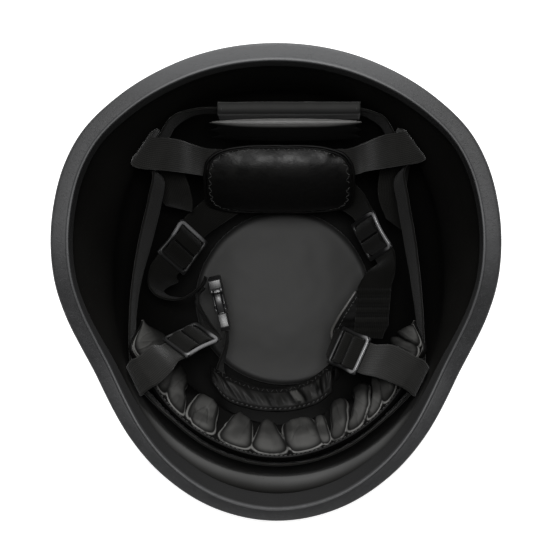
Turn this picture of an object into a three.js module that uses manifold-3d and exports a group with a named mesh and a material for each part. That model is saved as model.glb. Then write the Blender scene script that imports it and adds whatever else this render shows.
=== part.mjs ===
// A combat helmet lying on its crown with the opening up: +Z up, the brow towards -Y, the nape towards +Y.
// Sizes are in millimetres. The origin is on the floor under the middle of the helmet's bounding box.
import * as THREE from "three";
import { mergeVertices } from "three/addons/utils/BufferGeometryUtils.js";
import Module from "manifold-3d";

const wasm = await Module();
wasm.setup();

// Driving dimensions of the shell
const wallThickness = 7.4;
const beltHeight = 94; // where the dome ends and the flare of ears, nape and visor begins
const beltHalfWidth = 108;
const beltToNape = 124;
const beltToBrow = 124;
const crownY = 6; // the top of the dome lies a little behind the middle
const domeFullness = 2.25; // 2 is an ellipse, more is fuller
const beltFullness = { nape: 2.3, brow: 2.1 };
const crownFlatAngle = 5; // degrees of the dome's arc that are flat, where it rests

// The rim from nape (azimuth 0) over the ear (90) to the visor (180), one half: radius and height of the shell's
// outer edge, and how far the flare turns upright again at the edge (1 at the ears, 0 at the visor)
const rimStations = [
  { azimuth: 0, radius: 130.9, height: 170.5, upright: 0.6 },
  { azimuth: 25, radius: 132.3, height: 170.5, upright: 0.6 },
  { azimuth: 42, radius: 134.5, height: 170.3, upright: 0.8 },
  { azimuth: 53, radius: 135.9, height: 169.8, upright: 1 },
  { azimuth: 62, radius: 134.6, height: 169.0, upright: 1 },
  { azimuth: 72, radius: 131.4, height: 167.8, upright: 1 },
  { azimuth: 82, radius: 128.2, height: 165.2, upright: 1 },
  { azimuth: 92, radius: 125.2, height: 159.0, upright: 1 },
  { azimuth: 101, radius: 122.1, height: 149.5, upright: 0.9 },
  { azimuth: 110, radius: 119.4, height: 139.5, upright: 0.7 },
  { azimuth: 118, radius: 118.8, height: 132.8, upright: 0.4 },
  { azimuth: 127, radius: 121.2, height: 129.4, upright: 0.2 },
  { azimuth: 138, radius: 126.2, height: 128.6, upright: 0 },
  { azimuth: 150, radius: 132.0, height: 129.0, upright: 0 },
  { azimuth: 165, radius: 138.0, height: 130.2, upright: 0 },
  { azimuth: 180, radius: 140.4, height: 130.8, upright: 0 },
];

// Driving dimensions of the trim, webbing, pads and hardware
const seatGap = 0.35;
const trim = { thickness: 1.1, leg: 11, crown: 1.5, gap: 0.6 };
const web = { width: 20, thickness: 1.3 };
const ring = { height: 20, thickness: 1.3, midHeight: 102.5, rise: 0.07 }; // rise: how much higher towards the nape
const bolt = { shank: 2.6, head: 8.5, headRise: 2.6, flange: 6.5, flangeThickness: 1.2, sides: 10 };
const boltPlaces = {
  rear_right: { azimuth: 44, height: 108, layers: 3 },
  rear_left: { azimuth: -44, height: 108, layers: 3 },
  front_right: { azimuth: 124.5, height: 96, layers: 2 },
  front_left: { azimuth: -124.5, height: 96, layers: 2 },
};
const firstLayer = 2.1; // from the wall to the middle of the first strap under a bolt
const layerStep = web.thickness + 0.6;
const around = 48; // stations round the shell and the trim

const rad = THREE.MathUtils.degToRad;
const vec = (x, y, z) => new THREE.Vector3(x, y, z);

// Cubic through a table's rows, read at an angle; the table is mirrored at its two ends.
function readTable(rows, key, field, at) {
  const last = rows.length - 1;
  const row = (i) => {
    const inside = i < 0 ? -i : i > last ? 2 * last - i : i;
    const mirrored = i < 0 ? -rows[inside][key] : 2 * rows[last][key] - rows[inside][key];
    return { at: i === inside ? rows[i][key] : mirrored, value: rows[inside][field] };
  };
  let i = 0;
  while (i < last - 1 && rows[i + 1][key] < at) i += 1;
  const [p, a, b, n] = [row(i - 1), row(i), row(i + 1), row(i + 2)];
  const span = b.at - a.at;
  const slopeA = ((b.value - p.value) / (b.at - p.at)) * span;
  const slopeB = ((n.value - a.value) / (n.at - a.at)) * span;
  const t = (at - a.at) / span;
  const t2 = t * t;
  const t3 = t2 * t;
  return (
    (2 * t3 - 3 * t2 + 1) * a.value + (t3 - 2 * t2 + t) * slopeA + (3 * t2 - 2 * t3) * b.value + (t3 - t2) * slopeB
  );
}

function rimValue(azimuth, field) {
  const folded = Math.abs(((((azimuth + 180) % 360) + 360) % 360) - 180);
  return readTable(rimStations, "azimuth", field, folded);
}

function beltRadius(azimuth) {
  const across = Math.abs(Math.sin(rad(azimuth)));
  const along = Math.cos(rad(azimuth));
  const reach = along > 0 ? beltToNape : beltToBrow;
  const share = THREE.MathUtils.smoothstep(along, -0.4, 0.4);
  const n = THREE.MathUtils.lerp(beltFullness.brow, beltFullness.nape, share);
  return ((across / beltHalfWidth) ** n + (Math.abs(along) / reach) ** n) ** (-1 / n);
}

// The shell's outer skin. level runs from 0 at the crown to 1 at the belt and 2 at the rim.
function outerSkin(azimuth, level) {
  const belt = beltRadius(azimuth);
  const direction = vec(Math.sin(rad(azimuth)), Math.cos(rad(azimuth)), 0);
  if (level <= 1) {
    const power = 2 / domeFullness;
    const dip = (angle) => 1 - Math.cos(rad(angle)) ** power;
    const share = Math.sin(rad(90 * level)) ** power;
    const height = (beltHeight * (dip(90 * level) - dip(crownFlatAngle))) / (1 - dip(crownFlatAngle));
    const place = direction.multiplyScalar(belt * share);
    place.y += crownY * (1 - share * share);
    place.z = Math.max(0, height);
    return place;
  }
  const u = level - 1;
  const upright = rimValue(azimuth, "upright");
  const flare = (1 - upright) * u ** 1.7 + upright * Math.sin(rad(90 * u)) ** 1.7;
  const radius = belt + (rimValue(azimuth, "radius") - belt) * flare;
  const place = direction.multiplyScalar(radius);
  place.z = beltHeight + (rimValue(azimuth, "height") - beltHeight) * u;
  return place;
}

function skinNormal(azimuth, level) {
  const step = 0.01;
  const [low, high] = [Math.max(level - step, 0.02), Math.min(level + step, 2)];
  const up = outerSkin(azimuth, high).sub(outerSkin(azimuth, low));
  const round = outerSkin(azimuth + 0.5, level).sub(outerSkin(azimuth - 0.5, level));
  return up.cross(round).normalize();
}

// A point at a depth under the outer skin; the wall's inner face is at wallThickness.
function inWall(azimuth, level, depth) {
  return outerSkin(azimuth, level).addScaledVector(skinNormal(azimuth, level), -depth);
}

// The frame of a place on the inner face at a given height: point, inward normal, and the way round.
function wallFrame(azimuth, height) {
  let level = 1.2;
  for (let i = 0; i < 30; i += 1) {
    level += (height - inWall(azimuth, level, wallThickness).z) / 90;
    level = THREE.MathUtils.clamp(level, 0.05, 2);
  }
  const inward = skinNormal(azimuth, level).negate();
  const round = vec(0, 0, 1).cross(inward).normalize();
  return { point: inWall(azimuth, level, wallThickness), inward, round, up: inward.clone().cross(round) };
}

// Joins rings of points into one closed solid. A loop's last ring meets its first; otherwise both ends are capped.
function loft(rings, isLoop = false) {
  const points = [];
  const faces = [];
  const size = rings[0].length;
  rings.forEach((r) => r.forEach((p) => points.push(p)));
  const spans = isLoop ? rings.length : rings.length - 1;
  for (let i = 0; i < spans; i += 1) {
    const [here, next] = [i * size, ((i + 1) % rings.length) * size];
    for (let j = 0; j < size; j += 1) {
      const k = (j + 1) % size;
      faces.push([here + j, here + k, next + k], [here + j, next + k, next + j]);
    }
  }
  if (!isLoop) {
    for (const [start, turn] of [
      [0, -1],
      [(rings.length - 1) * size, 1],
    ]) {
      const middle = points.length;
      const centre = vec(0, 0, 0);
      for (let j = 0; j < size; j += 1) centre.addScaledVector(points[start + j], 1 / size);
      points.push(centre);
      for (let j = 0; j < size; j += 1) {
        const k = (j + 1) % size;
        faces.push(turn > 0 ? [middle, start + j, start + k] : [middle, start + k, start + j]);
      }
    }
  }
  return solidGeometry(points, faces);
}

// Indexed geometry with its faces turned out.
function solidGeometry(points, faces) {
  let volume = 0;
  for (const [a, b, c] of faces) volume += points[a].dot(points[b].clone().cross(points[c]));
  const index = faces.flatMap(([a, b, c]) => (volume > 0 ? [a, b, c] : [a, c, b]));
  const geometry = new THREE.BufferGeometry();
  geometry.setAttribute("position", new THREE.Float32BufferAttribute(points.flatMap((p) => [p.x, p.y, p.z]), 3));
  geometry.setIndex(index);
  return geometry;
}

function toManifold(geometry) {
  const bare = geometry.clone();
  for (const name of Object.keys(bare.attributes)) if (name !== "position") bare.deleteAttribute(name);
  const merged = mergeVertices(bare, 1e-4);
  const mesh = new wasm.Mesh({
    numProp: 3,
    vertProperties: new Float32Array(merged.attributes.position.array),
    triVerts: new Uint32Array(merged.index.array),
  });
  return new wasm.Manifold(mesh);
}

function fromManifold(solid) {
  const mesh = solid.getMesh();
  const geometry = new THREE.BufferGeometry();
  geometry.setAttribute("position", new THREE.BufferAttribute(mesh.vertProperties, 3));
  geometry.setIndex(new THREE.BufferAttribute(mesh.triVerts, 1));
  return geometry;
}

// A cylinder's rod along a bolt's axis, to drill the wall and the straps under that bolt.
function drillRod(place, radius) {
  const { point, inward } = wallFrame(place.azimuth, place.height);
  const rod = new THREE.CylinderGeometry(radius, radius, 60, bolt.sides);
  rod.applyQuaternion(new THREE.Quaternion().setFromUnitVectors(vec(0, 1, 0), inward));
  return rod.translate(point.x, point.y, point.z);
}

function drilled(geometry, places) {
  const cut = places.reduce(
    (solid, place) => solid.subtract(toManifold(drillRod(place, bolt.shank + seatGap))),
    toManifold(geometry),
  );
  return fromManifold(cut);
}

// A flat strap between two edge lines. Each row gives a point on either edge; the curve runs smoothly through them.
function strap(rows, thickness = web.thickness, steps = 3) {
  const edge = (key) => new THREE.CatmullRomCurve3(rows.map((r) => r[key]), false, "centripetal");
  const [left, right] = [edge("a"), edge("b")];
  const count = (rows.length - 1) * steps;
  const at = (i) => [left.getPoint(i / count), right.getPoint(i / count)];
  const rings = [];
  for (let i = 0; i <= count; i += 1) {
    const [a, b] = at(i);
    const [a0, b0] = at(Math.max(i - 1, 0));
    const [a1, b1] = at(Math.min(i + 1, count));
    const along = a1.add(b1).sub(a0).sub(b0);
    const lift = along.cross(b.clone().sub(a)).setLength(thickness / 2);
    rings.push([a.clone().add(lift), b.clone().add(lift), b.clone().sub(lift), a.clone().sub(lift)]);
  }
  return loft(rings);
}

// A strap whose last row joins its first.
function closedStrap(rows, thickness, steps) {
  const edge = (key) => new THREE.CatmullRomCurve3(rows.map((r) => r[key]), true, "centripetal");
  const [top, bottom] = [edge("a"), edge("b")];
  const count = rows.length * steps;
  const rings = Array.from({ length: count }, (_, i) => {
    const [a, b] = [top.getPoint(i / count), bottom.getPoint(i / count)];
    const along = top.getTangent(i / count).add(bottom.getTangent(i / count));
    const side = along.cross(b.clone().sub(a)).setLength(thickness / 2);
    return [a.clone().add(side), b.clone().add(side), b.clone().sub(side), a.clone().sub(side)];
  });
  return loft(rings, true);
}

const row = (a, b) => ({ a: vec(...a), b: vec(...b) });
const rowAt = (centre, across, width = web.width) => {
  const half = across.clone().setLength(width / 2);
  return { a: centre.clone().add(half), b: centre.clone().sub(half) };
};
const mirroredRows = (rows) => rows.map(({ a, b }) => ({ a: vec(-a.x, a.y, a.z), b: vec(-b.x, b.y, b.z) }));

function shellGeometry() {
  const levels = [
    crownFlatAngle / 90, 0.18, 0.32, 0.46, 0.6, 0.74, 0.88, 1, 1.16, 1.36, 1.58, 1.8, 2,
  ];
  const ringAt = (level, depth) =>
    Array.from({ length: around }, (_, i) => inWall((360 / around) * i, level, depth));
  const outer = levels.map((level) => ringAt(level, 0));
  const inner = levels.map((level) => ringAt(level, wallThickness)).reverse();
  return drilled(loft([...outer, ...inner]), Object.values(boltPlaces));
}

// The rubber trim: a U that wraps the rim, following the wall down both faces.
function trimGeometry() {
  const rings = [];
  for (let i = 0; i < around; i += 1) {
    const azimuth = (360 / around) * i;
    const perLevel = outerSkin(azimuth, 2).distanceTo(outerSkin(azimuth, 1.9)) / 0.1;
    const beside = (down, depth) => inWall(azimuth, 2 - down / perLevel, depth);
    const edgeUp = outerSkin(azimuth, 2).sub(outerSkin(azimuth, 1.96)).normalize();
    const above = (depth, rise) => beside(0, depth).addScaledVector(edgeUp, rise);
    const [out, gap, deep] = [-trim.thickness - trim.gap, trim.gap, wallThickness];
    rings.push([
      beside(trim.leg, out),
      beside(trim.leg / 2, out),
      above(out, 0),
      above(out + 1, gap + trim.crown),
      above(deep - out - 1, gap + trim.crown),
      above(deep - out, 0),
      beside(trim.leg / 2, deep - out),
      beside(trim.leg, deep - out),
      beside(trim.leg, deep + gap),
      beside(trim.leg / 2, deep + gap),
      above(deep + gap, gap),
      above(-gap, gap),
      beside(trim.leg / 2, -gap),
      beside(trim.leg, -gap),
    ]);
  }
  return loft(rings, true);
}

// A plain bolt through the wall: a low round head outside, and a flange that clamps the straps inside.
function boltMesh(name, place) {
  const { point, inward } = wallFrame(place.azimuth, place.height);
  const outside = -wallThickness - 0.9;
  const clampAt = firstLayer + (place.layers - 1) * layerStep + web.thickness / 2 + 0.4;
  const profile = [
    [0, outside - bolt.headRise],
    [bolt.head * 0.6, outside - bolt.headRise * 0.85],
    [bolt.head, outside],
    [bolt.shank, outside],
    [bolt.shank, clampAt],
    [bolt.flange, clampAt],
    [bolt.flange, clampAt + bolt.flangeThickness],
    [0, clampAt + bolt.flangeThickness],
  ];
  const geometry = new THREE.LatheGeometry(profile.map(([r, h]) => new THREE.Vector2(r, h)), bolt.sides);
  const mesh = new THREE.Mesh(geometry, materials.metal.clone());
  mesh.name = name;
  mesh.position.copy(point);
  mesh.quaternion.setFromUnitVectors(vec(0, 1, 0), inward);
  return mesh;
}

// The middle of a strap lying flat under a bolt, in the given layer counted from the wall.
function underBolt(place, layer, roundShift = 0, upShift = 0) {
  const { point, inward, round, up } = wallFrame(place.azimuth, place.height);
  return point
    .clone()
    .addScaledVector(inward, firstLayer + (layer - 1) * layerStep)
    .addScaledVector(round, roundShift)
    .addScaledVector(up, upShift);
}

// The webbing ring that hangs inside the shell, standing on edge, one half from nape to brow. A row gives the
// middle of the strap and how far its top edge leans out beyond its bottom edge.
const ringPath = {
  behindBolt: [
    { x: 0, y: 102.2, lean: 0.5 },
    { x: 28, y: 102.2, lean: 0.5 },
    { x: 50, y: 101.6, lean: 0.6 },
    { x: 63, y: 95.6, lean: 3 },
  ],
  besideHeadRight: [
    { x: 73.6, y: 63.5, lean: 7 },
    { x: 75.6, y: 48.4, lean: 6.4 },
    { x: 79.7, y: 24.3, lean: 5.9 },
    { x: 83.3, y: 0.2, lean: 4.4 },
    { x: 86.2, y: -28, lean: 2.5 },
  ],
  besideHeadLeft: [
    { x: 72.4, y: 63.5, lean: 7 },
    { x: 74.3, y: 48.5, lean: 7 },
    { x: 80, y: 24.4, lean: 5.9 },
    { x: 85.4, y: 0.2, lean: 3.1 },
    { x: 88, y: -24, lean: 1.6 },
  ],
  roundBrow: [
    { x: 63.2, y: -84.2, lean: 0.5 },
    { x: 43.6, y: -99.4, lean: 0 },
    { x: 22, y: -108.4, lean: 0 },
    { x: 0, y: -111.3, lean: 0 },
  ],
};

function ringGeometry() {
  const nearBolt = (place, layer) => {
    const { round, up } = wallFrame(place.azimuth, place.height);
    const towardsNape = place.azimuth > 90 ? -1 : 1;
    const lift = ring.midHeight + ring.rise * (round.x + 60 * towardsNape) - place.height;
    const rows = [-8, 0, 8].map((shift) => rowAt(underBolt(place, layer, shift, lift), up, ring.height));
    return rows[0].a.y > rows[2].a.y ? rows : rows.reverse();
  };
  const hanging = ({ x, y, lean }) => {
    const out = vec(x, y, 0).setLength(lean);
    return rowAt(vec(x, y, ring.midHeight + ring.rise * y), out.setZ(ring.height), ring.height);
  };
  const halfPast = (besideHead) => [
    ...ringPath.behindBolt.map(hanging),
    ...nearBolt(boltPlaces.rear_right, 3),
    ...besideHead.map(hanging),
    ...nearBolt(boltPlaces.front_right, 2),
    ...ringPath.roundBrow.map(hanging),
  ];
  const right = halfPast(ringPath.besideHeadRight);
  const left = mirroredRows(halfPast(ringPath.besideHeadLeft).slice(1, -1).reverse());
  return drilled(closedStrap([...right, ...left], ring.thickness, 2), Object.values(boltPlaces));
}

// The gathered sweatband of the brow: a padded band leaning inwards, with puffs between its pleats.
// Angles are from the middle of the brow, positive towards the right ear.
const sweatband = { topHeight: 104, drop: 41, halfThickness: 3.2, puff: 4.6 };
const sweatPleats = [-74, -62.5, -53, -39, -25, -11.5, -2, 17, 27, 35.5, 47, 61.5, 74];
const sweatTop = [
  { angle: 0, radius: 107.6, lean: 18 },
  { angle: 24, radius: 104.6, lean: 18 },
  { angle: 44, radius: 100.8, lean: 15 },
  { angle: 56, radius: 96.8, lean: 12 },
  { angle: 66, radius: 91.4, lean: 8 },
  { angle: 75, radius: 85.5, lean: 6 },
];

function sweatbandGeometry() {
  const rings = [];
  const shares = [0, 0.2, 0.5, 0.8];
  const ringAt = (angle, puff) => {
    const radius = readTable(sweatTop, "angle", "radius", Math.abs(angle));
    const lean = readTable(sweatTop, "angle", "lean", Math.abs(angle));
    const out = vec(Math.sin(rad(angle)), -Math.cos(rad(angle)), 0);
    const along = out.clone().multiplyScalar(-lean).setZ(-sweatband.drop).normalize();
    const face = vec(out.x, out.y, 0).cross(along).cross(along).normalize();
    if (face.dot(out) > 0) face.negate();
    const length = Math.hypot(lean, sweatband.drop);
    const top = out.clone().multiplyScalar(radius).setZ(sweatband.topHeight);
    const at = (share, rise) => top.clone().addScaledVector(along, share * length).addScaledVector(face, rise);
    const half = sweatband.halfThickness;
    const back = [0.04, 0.35, 0.7, 0.97].map((s) => at(s, -half * (s < 0.1 || s > 0.9 ? 0.4 : 1)));
    const front = [1, 0.86, 0.6, 0.34, 0.12, 0].map((s) =>
      at(s, half * 0.35 + (half * 0.6 + sweatband.puff * puff) * Math.sin(Math.PI * s) ** 0.6),
    );
    return [...back, ...front];
  };
  for (let i = 0; i < sweatPleats.length - 1; i += 1) {
    const [from, to] = [sweatPleats[i], sweatPleats[i + 1]];
    for (const share of shares) rings.push(ringAt(from + (to - from) * share, Math.sin(Math.PI * share) ** 0.7));
  }
  rings.push(ringAt(sweatPleats.at(-1), 0));
  return loft(rings);
}

// The crown pad: a round padded disc bedded in the dome.
const crownPad = { x: 2, y: -7.7, radius: 57, thickness: 8.5, bedGap: 0.9 };

function domeFloor(x, y) {
  const offset = y - crownY * 0.8;
  const azimuth = THREE.MathUtils.radToDeg(Math.atan2(x, offset));
  const share = Math.hypot(x, offset) / (beltRadius(azimuth) - wallThickness);
  return wallThickness + (beltHeight - wallThickness) * (1 - (1 - share ** domeFullness) ** (1 / domeFullness));
}

function crownPadGeometry() {
  const sectors = 28;
  const ringAt = (share, onTop) =>
    Array.from({ length: sectors }, (_, i) => {
      const angle = (2 * Math.PI * i) / sectors;
      const reach = crownPad.radius * share;
      const [x, y] = [crownPad.x + reach * Math.sin(angle), crownPad.y + reach * Math.cos(angle)];
      const bed = domeFloor(x, y) + crownPad.bedGap;
      const crowned = crownPad.thickness * (1 - 0.75 * share ** 8);
      return vec(x, y, onTop ? bed + crowned : bed);
    });
  const under = [0.3, 0.65, 0.9, 0.985];
  const over = [1, 0.96, 0.85, 0.6, 0.3];
  return loft([...under.map((s) => ringAt(s, false)), ...over.map((s) => ringAt(s, true))]);
}

// The nape pad: a padded panel with a flat stitched border, curving down into the bowl.
const napePad = { x: 0.5, halfWidth: 46, border: 1.3, puffUp: 6.5, puffDown: 2 };
const napeFall = [[82, 101.5], [71, 97.5], [59, 87], [50, 73], [45.5, 59]];

function napePadGeometry() {
  const fall = new THREE.CatmullRomCurve3(napeFall.map(([y, z]) => vec(0, y, z)));
  const length = fall.getLength();
  const sides = 28;
  const outline = (angle) => {
    const [c, s] = [Math.cos(angle), Math.sin(angle)];
    const n = 3.4;
    const reach = (Math.abs(c) ** n + Math.abs(s) ** n) ** (-1 / n);
    return [c * reach, s * reach];
  };
  const ringAt = (share, face) =>
    Array.from({ length: sides }, (_, i) => {
      const [u, v] = outline((2 * Math.PI * i) / sides);
      const t = THREE.MathUtils.clamp(0.5 + (v * share) / 2, 0, 1);
      const at = fall.getPointAt(t);
      const away = fall.getTangentAt(t).cross(vec(1, 0, 0)).normalize();
      if (away.z < 0) away.negate();
      const full = share > 0.86 ? 0 : Math.cos((Math.PI / 2) * (share / 0.86) ** 2.2);
      const rise = face > 0 ? napePad.border + napePad.puffUp * full : -napePad.border - napePad.puffDown * full;
      return at.addScaledVector(away, rise).setX(napePad.x + u * share * napePad.halfWidth);
    });
  const shares = [0.25, 0.5, 0.7, 0.86, 1];
  return loft([...shares.map((s) => ringAt(s, -1)), ...shares.reverse().map((s) => ringAt(s, 1))]);
}

// The back pad of the headband: an upright pillow whose two ends close to a seam.
const backPad = { x: 5.5, halfWidth: 47, top: { y: 94.2, z: 124 }, foot: { y: 88.3, z: 84 }, halfThickness: 3.7 };

function backPadGeometry() {
  const { top, foot } = backPad;
  const down = vec(0, foot.y - top.y, foot.z - top.z);
  const face = vec(0, -down.z, down.y).normalize();
  const rings = [];
  for (const share of [-1, -0.94, -0.8, -0.6, -0.3, 0, 0.3, 0.6, 0.8, 0.94, 1]) {
    const full = 0.14 + 0.86 * (1 - Math.abs(share) ** 3);
    const at = (v, rise) =>
      vec(backPad.x + share * backPad.halfWidth, top.y, top.z)
        .addScaledVector(down, v)
        .addScaledVector(face, rise * backPad.halfThickness * full);
    rings.push([
      at(0, 0.55), at(0.12, 1), at(0.5, 1.1), at(0.88, 1), at(1, 0.45),
      at(1, -0.45), at(0.88, -1), at(0.5, -1), at(0.12, -1), at(0, -0.55),
    ]);
  }
  return loft(rings);
}

// The flap folded over the webbing ring behind the back pad: an upside-down U along X.
const backFlap = { x: 7, halfWidth: 42.5, inner: 97.9, outer: 105.8, top: 125, innerFoot: 98, outerFoot: 100, wall: 1.4 };

function backFlapGeometry() {
  const { inner, outer, top, innerFoot, outerFoot, wall } = backFlap;
  const profile = [
    [inner, innerFoot], [inner, top - 2], [inner + 1.6, top], [outer - 1.6, top], [outer, top - 2], [outer, outerFoot],
    [outer - wall, outerFoot], [outer - wall, top - 2.6], [outer - 2.4, top - wall], [inner + 2.4, top - wall],
    [inner + wall, top - 2.6], [inner + wall, innerFoot],
  ];
  const shape = new THREE.Shape(profile.map(([y, z]) => new THREE.Vector2(y, z)));
  const geometry = new THREE.ExtrudeGeometry(shape, { depth: 2 * backFlap.halfWidth, bevelEnabled: false });
  const toFrame = new THREE.Matrix4().makeBasis(vec(0, 1, 0), vec(0, 0, 1), vec(1, 0, 0));
  return geometry.applyMatrix4(toFrame).translate(backFlap.x - backFlap.halfWidth, 0, 0);
}

// A slide adjuster: a flat frame with four bars. The strap runs under the outer bars and over the inner ones.
const slide = { length: 26.4, width: 25, thickness: 1.8, bar: 1.8, innerGap: 3.2, webLift: 1.85 };
const slidePlaces = {
  rear_left: { centre: vec(-60.5, 22.5, 66), along: vec(-0.54, -0.78, 0.18), across: vec(-0.55, 0.5, 0.5) },
  rear_right: { centre: vec(58, 29.5, 66), along: vec(0.46, -0.89, 0.05), across: vec(-0.48, -0.29, -0.75) },
  front_left: { centre: vec(-53.8, -35.8, 82), along: vec(0.75, 0.4, -0.5), across: vec(0.6, -0.55, 0.75) },
  front_right: { centre: vec(43.5, -42.4, 76), along: vec(-0.62, 0.28, -0.72), across: vec(0.41, 0.91, 0) },
};

function slideFrame({ centre, along, across }) {
  const u = along.clone().normalize();
  const w = across.clone().addScaledVector(u, -across.dot(u)).normalize();
  const n = u.clone().cross(w);
  if (n.z < 0) n.negate();
  return { centre, u, w, n };
}

function slideGeometry(place) {
  const { centre, u, n } = slideFrame(place);
  const [halfLength, halfWidth] = [slide.length / 2, slide.width / 2];
  const waist = 0.9;
  const outline = [
    [-halfLength, -halfWidth + 1], [-halfLength + 1, -halfWidth], [-5, -halfWidth], [0, -halfWidth + waist],
    [5, -halfWidth], [halfLength - 1, -halfWidth], [halfLength, -halfWidth + 1],
    [halfLength, halfWidth - 1], [halfLength - 1, halfWidth], [5, halfWidth], [0, halfWidth - waist],
    [-5, halfWidth], [-halfLength + 1, halfWidth], [-halfLength, halfWidth - 1],
  ];
  const shape = new THREE.Shape(outline.map(([x, y]) => new THREE.Vector2(x, y)));
  const plate = new THREE.ExtrudeGeometry(shape, { depth: slide.thickness, bevelEnabled: false });
  plate.translate(0, 0, -slide.thickness / 2);
  const slotEnd = halfLength - slide.bar;
  const slotStart = slide.innerGap / 2 + slide.bar;
  const slots = [
    { middle: -(slotStart + slotEnd) / 2, length: slotEnd - slotStart },
    { middle: 0, length: slide.innerGap },
    { middle: (slotStart + slotEnd) / 2, length: slotEnd - slotStart },
  ];
  const cut = slots.reduce((solid, slot) => {
    const hole = new THREE.BoxGeometry(slot.length, web.width + 1, 10).translate(slot.middle, 0, 0);
    return solid.subtract(toManifold(hole));
  }, toManifold(plate));
  const toFrame = new THREE.Matrix4().makeBasis(u, n.clone().cross(u), n).setPosition(centre);
  return fromManifold(cut).applyMatrix4(toFrame);
}

// The rows of a strap woven through a slide adjuster, with a short lead before and after.
function weave(place) {
  const { centre, u, w, n } = slideFrame(place);
  const lift = slide.webLift;
  const steps = [
    [-16.5, -lift], [-13, -lift - 0.1], [-10.4, -lift + 0.1], [-7.3, 0], [-4.1, lift], [-1.9, lift + 0.1],
    [1.9, lift + 0.1], [4.1, lift], [7.3, 0], [10.4, -lift + 0.1], [13, -lift - 0.1], [16.5, -lift],
  ];
  return steps.map(([s, h]) => rowAt(centre.clone().addScaledVector(u, s).addScaledVector(n, h), w));
}

// The end of a strap under a bolt: it stands flat on the wall, from upLow to upHigh beside the bolt.
function endOnWall(place, layer, [upLow, upHigh], width = web.width, roundShift = 0) {
  const { round } = wallFrame(place.azimuth, place.height);
  return [upLow, (upLow + upHigh) / 2, upHigh].map((up) =>
    rowAt(underBolt(place, layer, roundShift, up), round, width),
  );
}

// Rows whose edges are swapped, so that edge a is the one that continues the next row's edge a.
const swapped = (rows) => rows.map(({ a, b }) => ({ a: b, b: a }));

// The nape straps: up the wall from the bolt, over a fold, and across under the edge of the nape pad.
const onWallAtNape = swapped(endOnWall(boltPlaces.rear_right, 1, [-8, 8]));
const napeStrapRight = [
  ...onWallAtNape,
  row([76.0, 88.6, 122.4], [88.2, 71.2, 122.4]),
  row([73.6, 87.2, 124.9], [84.6, 69.0, 124.9]),
  row([66.0, 86.4, 123.0], [71.6, 67.0, 122.8]),
  row([59.6, 85.0, 117.0], [61.6, 66.2, 114.0]),
  row([52.6, 83.4, 103.8], [53.4, 66.4, 97.8]),
  row([43.6, 81.0, 95.4], [47.2, 65.6, 88.6]),
  row([34.0, 80.2, 98.5], [40.0, 66.0, 90.3]),
];
const napeStrapLeft = [
  ...onWallAtNape,
  row([75.6, 86.4, 122.4], [87.0, 68.4, 122.4]),
  row([73.0, 84.4, 124.9], [82.4, 65.8, 124.9]),
  row([66.0, 84.2, 123.2], [69.4, 64.8, 123.0]),
  row([58.6, 83.8, 116.4], [59.8, 64.6, 113.4]),
  row([51.6, 82.6, 103.8], [52.0, 65.0, 97.8]),
  row([42.6, 81.0, 95.4], [46.2, 65.2, 88.6]),
  row([33.0, 80.2, 98.5], [39.0, 65.8, 90.3]),
];

// The hangers: short straps that drop from the rear bolts behind the nape pad.
const hangerRight = [
  ...swapped(endOnWall(boltPlaces.rear_right, 2, [4.4, -13])),
  row([62.4, 68.0, 84.0], [79.0, 58.6, 80.0]),
  row([61.8, 52.4, 77.4], [77.6, 47.6, 70.6]),
  row([66.8, 39.8, 71.0], [76.4, 33.6, 62.6]),
];
const hangerLeft = mirroredRows([
  ...swapped(endOnWall(boltPlaces.rear_right, 2, [4.4, -13])),
  row([57.6, 66.0, 86.0], [74.6, 57.4, 80.0]),
  row([53.6, 52.0, 81.0], [71.6, 49.0, 73.0]),
  row([53.6, 44.0, 77.6], [68.0, 48.0, 65.4]),
]);

// The two rear chin straps start under the lower corners of the nape pad and run to their slide adjusters.
const rearStartRight = [
  rowAt(vec(36.5, 60.5, 57), vec(-0.85, -0.5, 0)),
  rowAt(vec(44.6, 52.4, 61.6), vec(-0.8, -0.4, -0.35)),
];
const rearStartLeft = [
  rowAt(vec(-28, 55.5, 54.5), vec(-0.6, 0.78, 0.15)),
  rowAt(vec(-41, 45.5, 60.2), vec(-0.6, 0.7, 0.35)),
];

// After its slide the right rear strap lies face up in a gathered run and ends on the cheek tab.
const gathers = { from: vec(59.6, -3, 67), to: vec(57.6, -27, 66.5), count: 4, depth: 1.3, width: 21 };

function rightRearRows() {
  const woven = weave(slidePlaces.rear_right);
  const rows = [
    ...rearStartRight,
    ...woven,
    rowAt(vec(63.6, 7.0, 68.4), vec(-0.9, -0.05, -0.5)),
  ];
  const steps = gathers.count * 2;
  for (let i = 0; i <= steps; i += 1) {
    const p = gathers.from.clone().lerp(gathers.to, i / steps);
    p.z += i % 2 ? gathers.depth : -gathers.depth;
    rows.push(rowAt(p, vec(-1, 0, -0.05), gathers.width));
  }
  rows.push(row([46.6, -30.2, 64.0], [66.0, -30.8, 64.0]), row([46.8, -33.4, 60.6], [65.0, -34.4, 60.6]));
  return rows;
}

// After its slide the left rear strap turns round on edge and runs to the socket of the buckle.
function leftRearRows() {
  return [
    ...rearStartLeft,
    ...weave(slidePlaces.rear_left),
    row([-79.6, 11.6, 72.0], [-63.4, 1.0, 60.0]),
    row([-81.8, 3.8, 71.0], [-69.0, -1.4, 55.0]),
    row([-80.6, -3.4, 70.0], [-73.6, -4.6, 51.4]),
    row([-76.0, -8.2, 68.6], [-71.4, -7.4, 49.6]),
    row([-68.0, -10.4, 66.8], [-65.4, -8.8, 47.4]),
    row([-60.0, -9.4, 65.4], [-59.0, -8.6, 45.8]),
    row([-52.6, -4.8, 64.4], [-52.2, -4.4, 44.6]),
    row([-48.2, 0.0, 64.0], [-48.2, 0.2, 44.2]),
    row([-46.4, 4.4, 64.0], [-46.6, 4.4, 44.2]),
  ];
}

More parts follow.
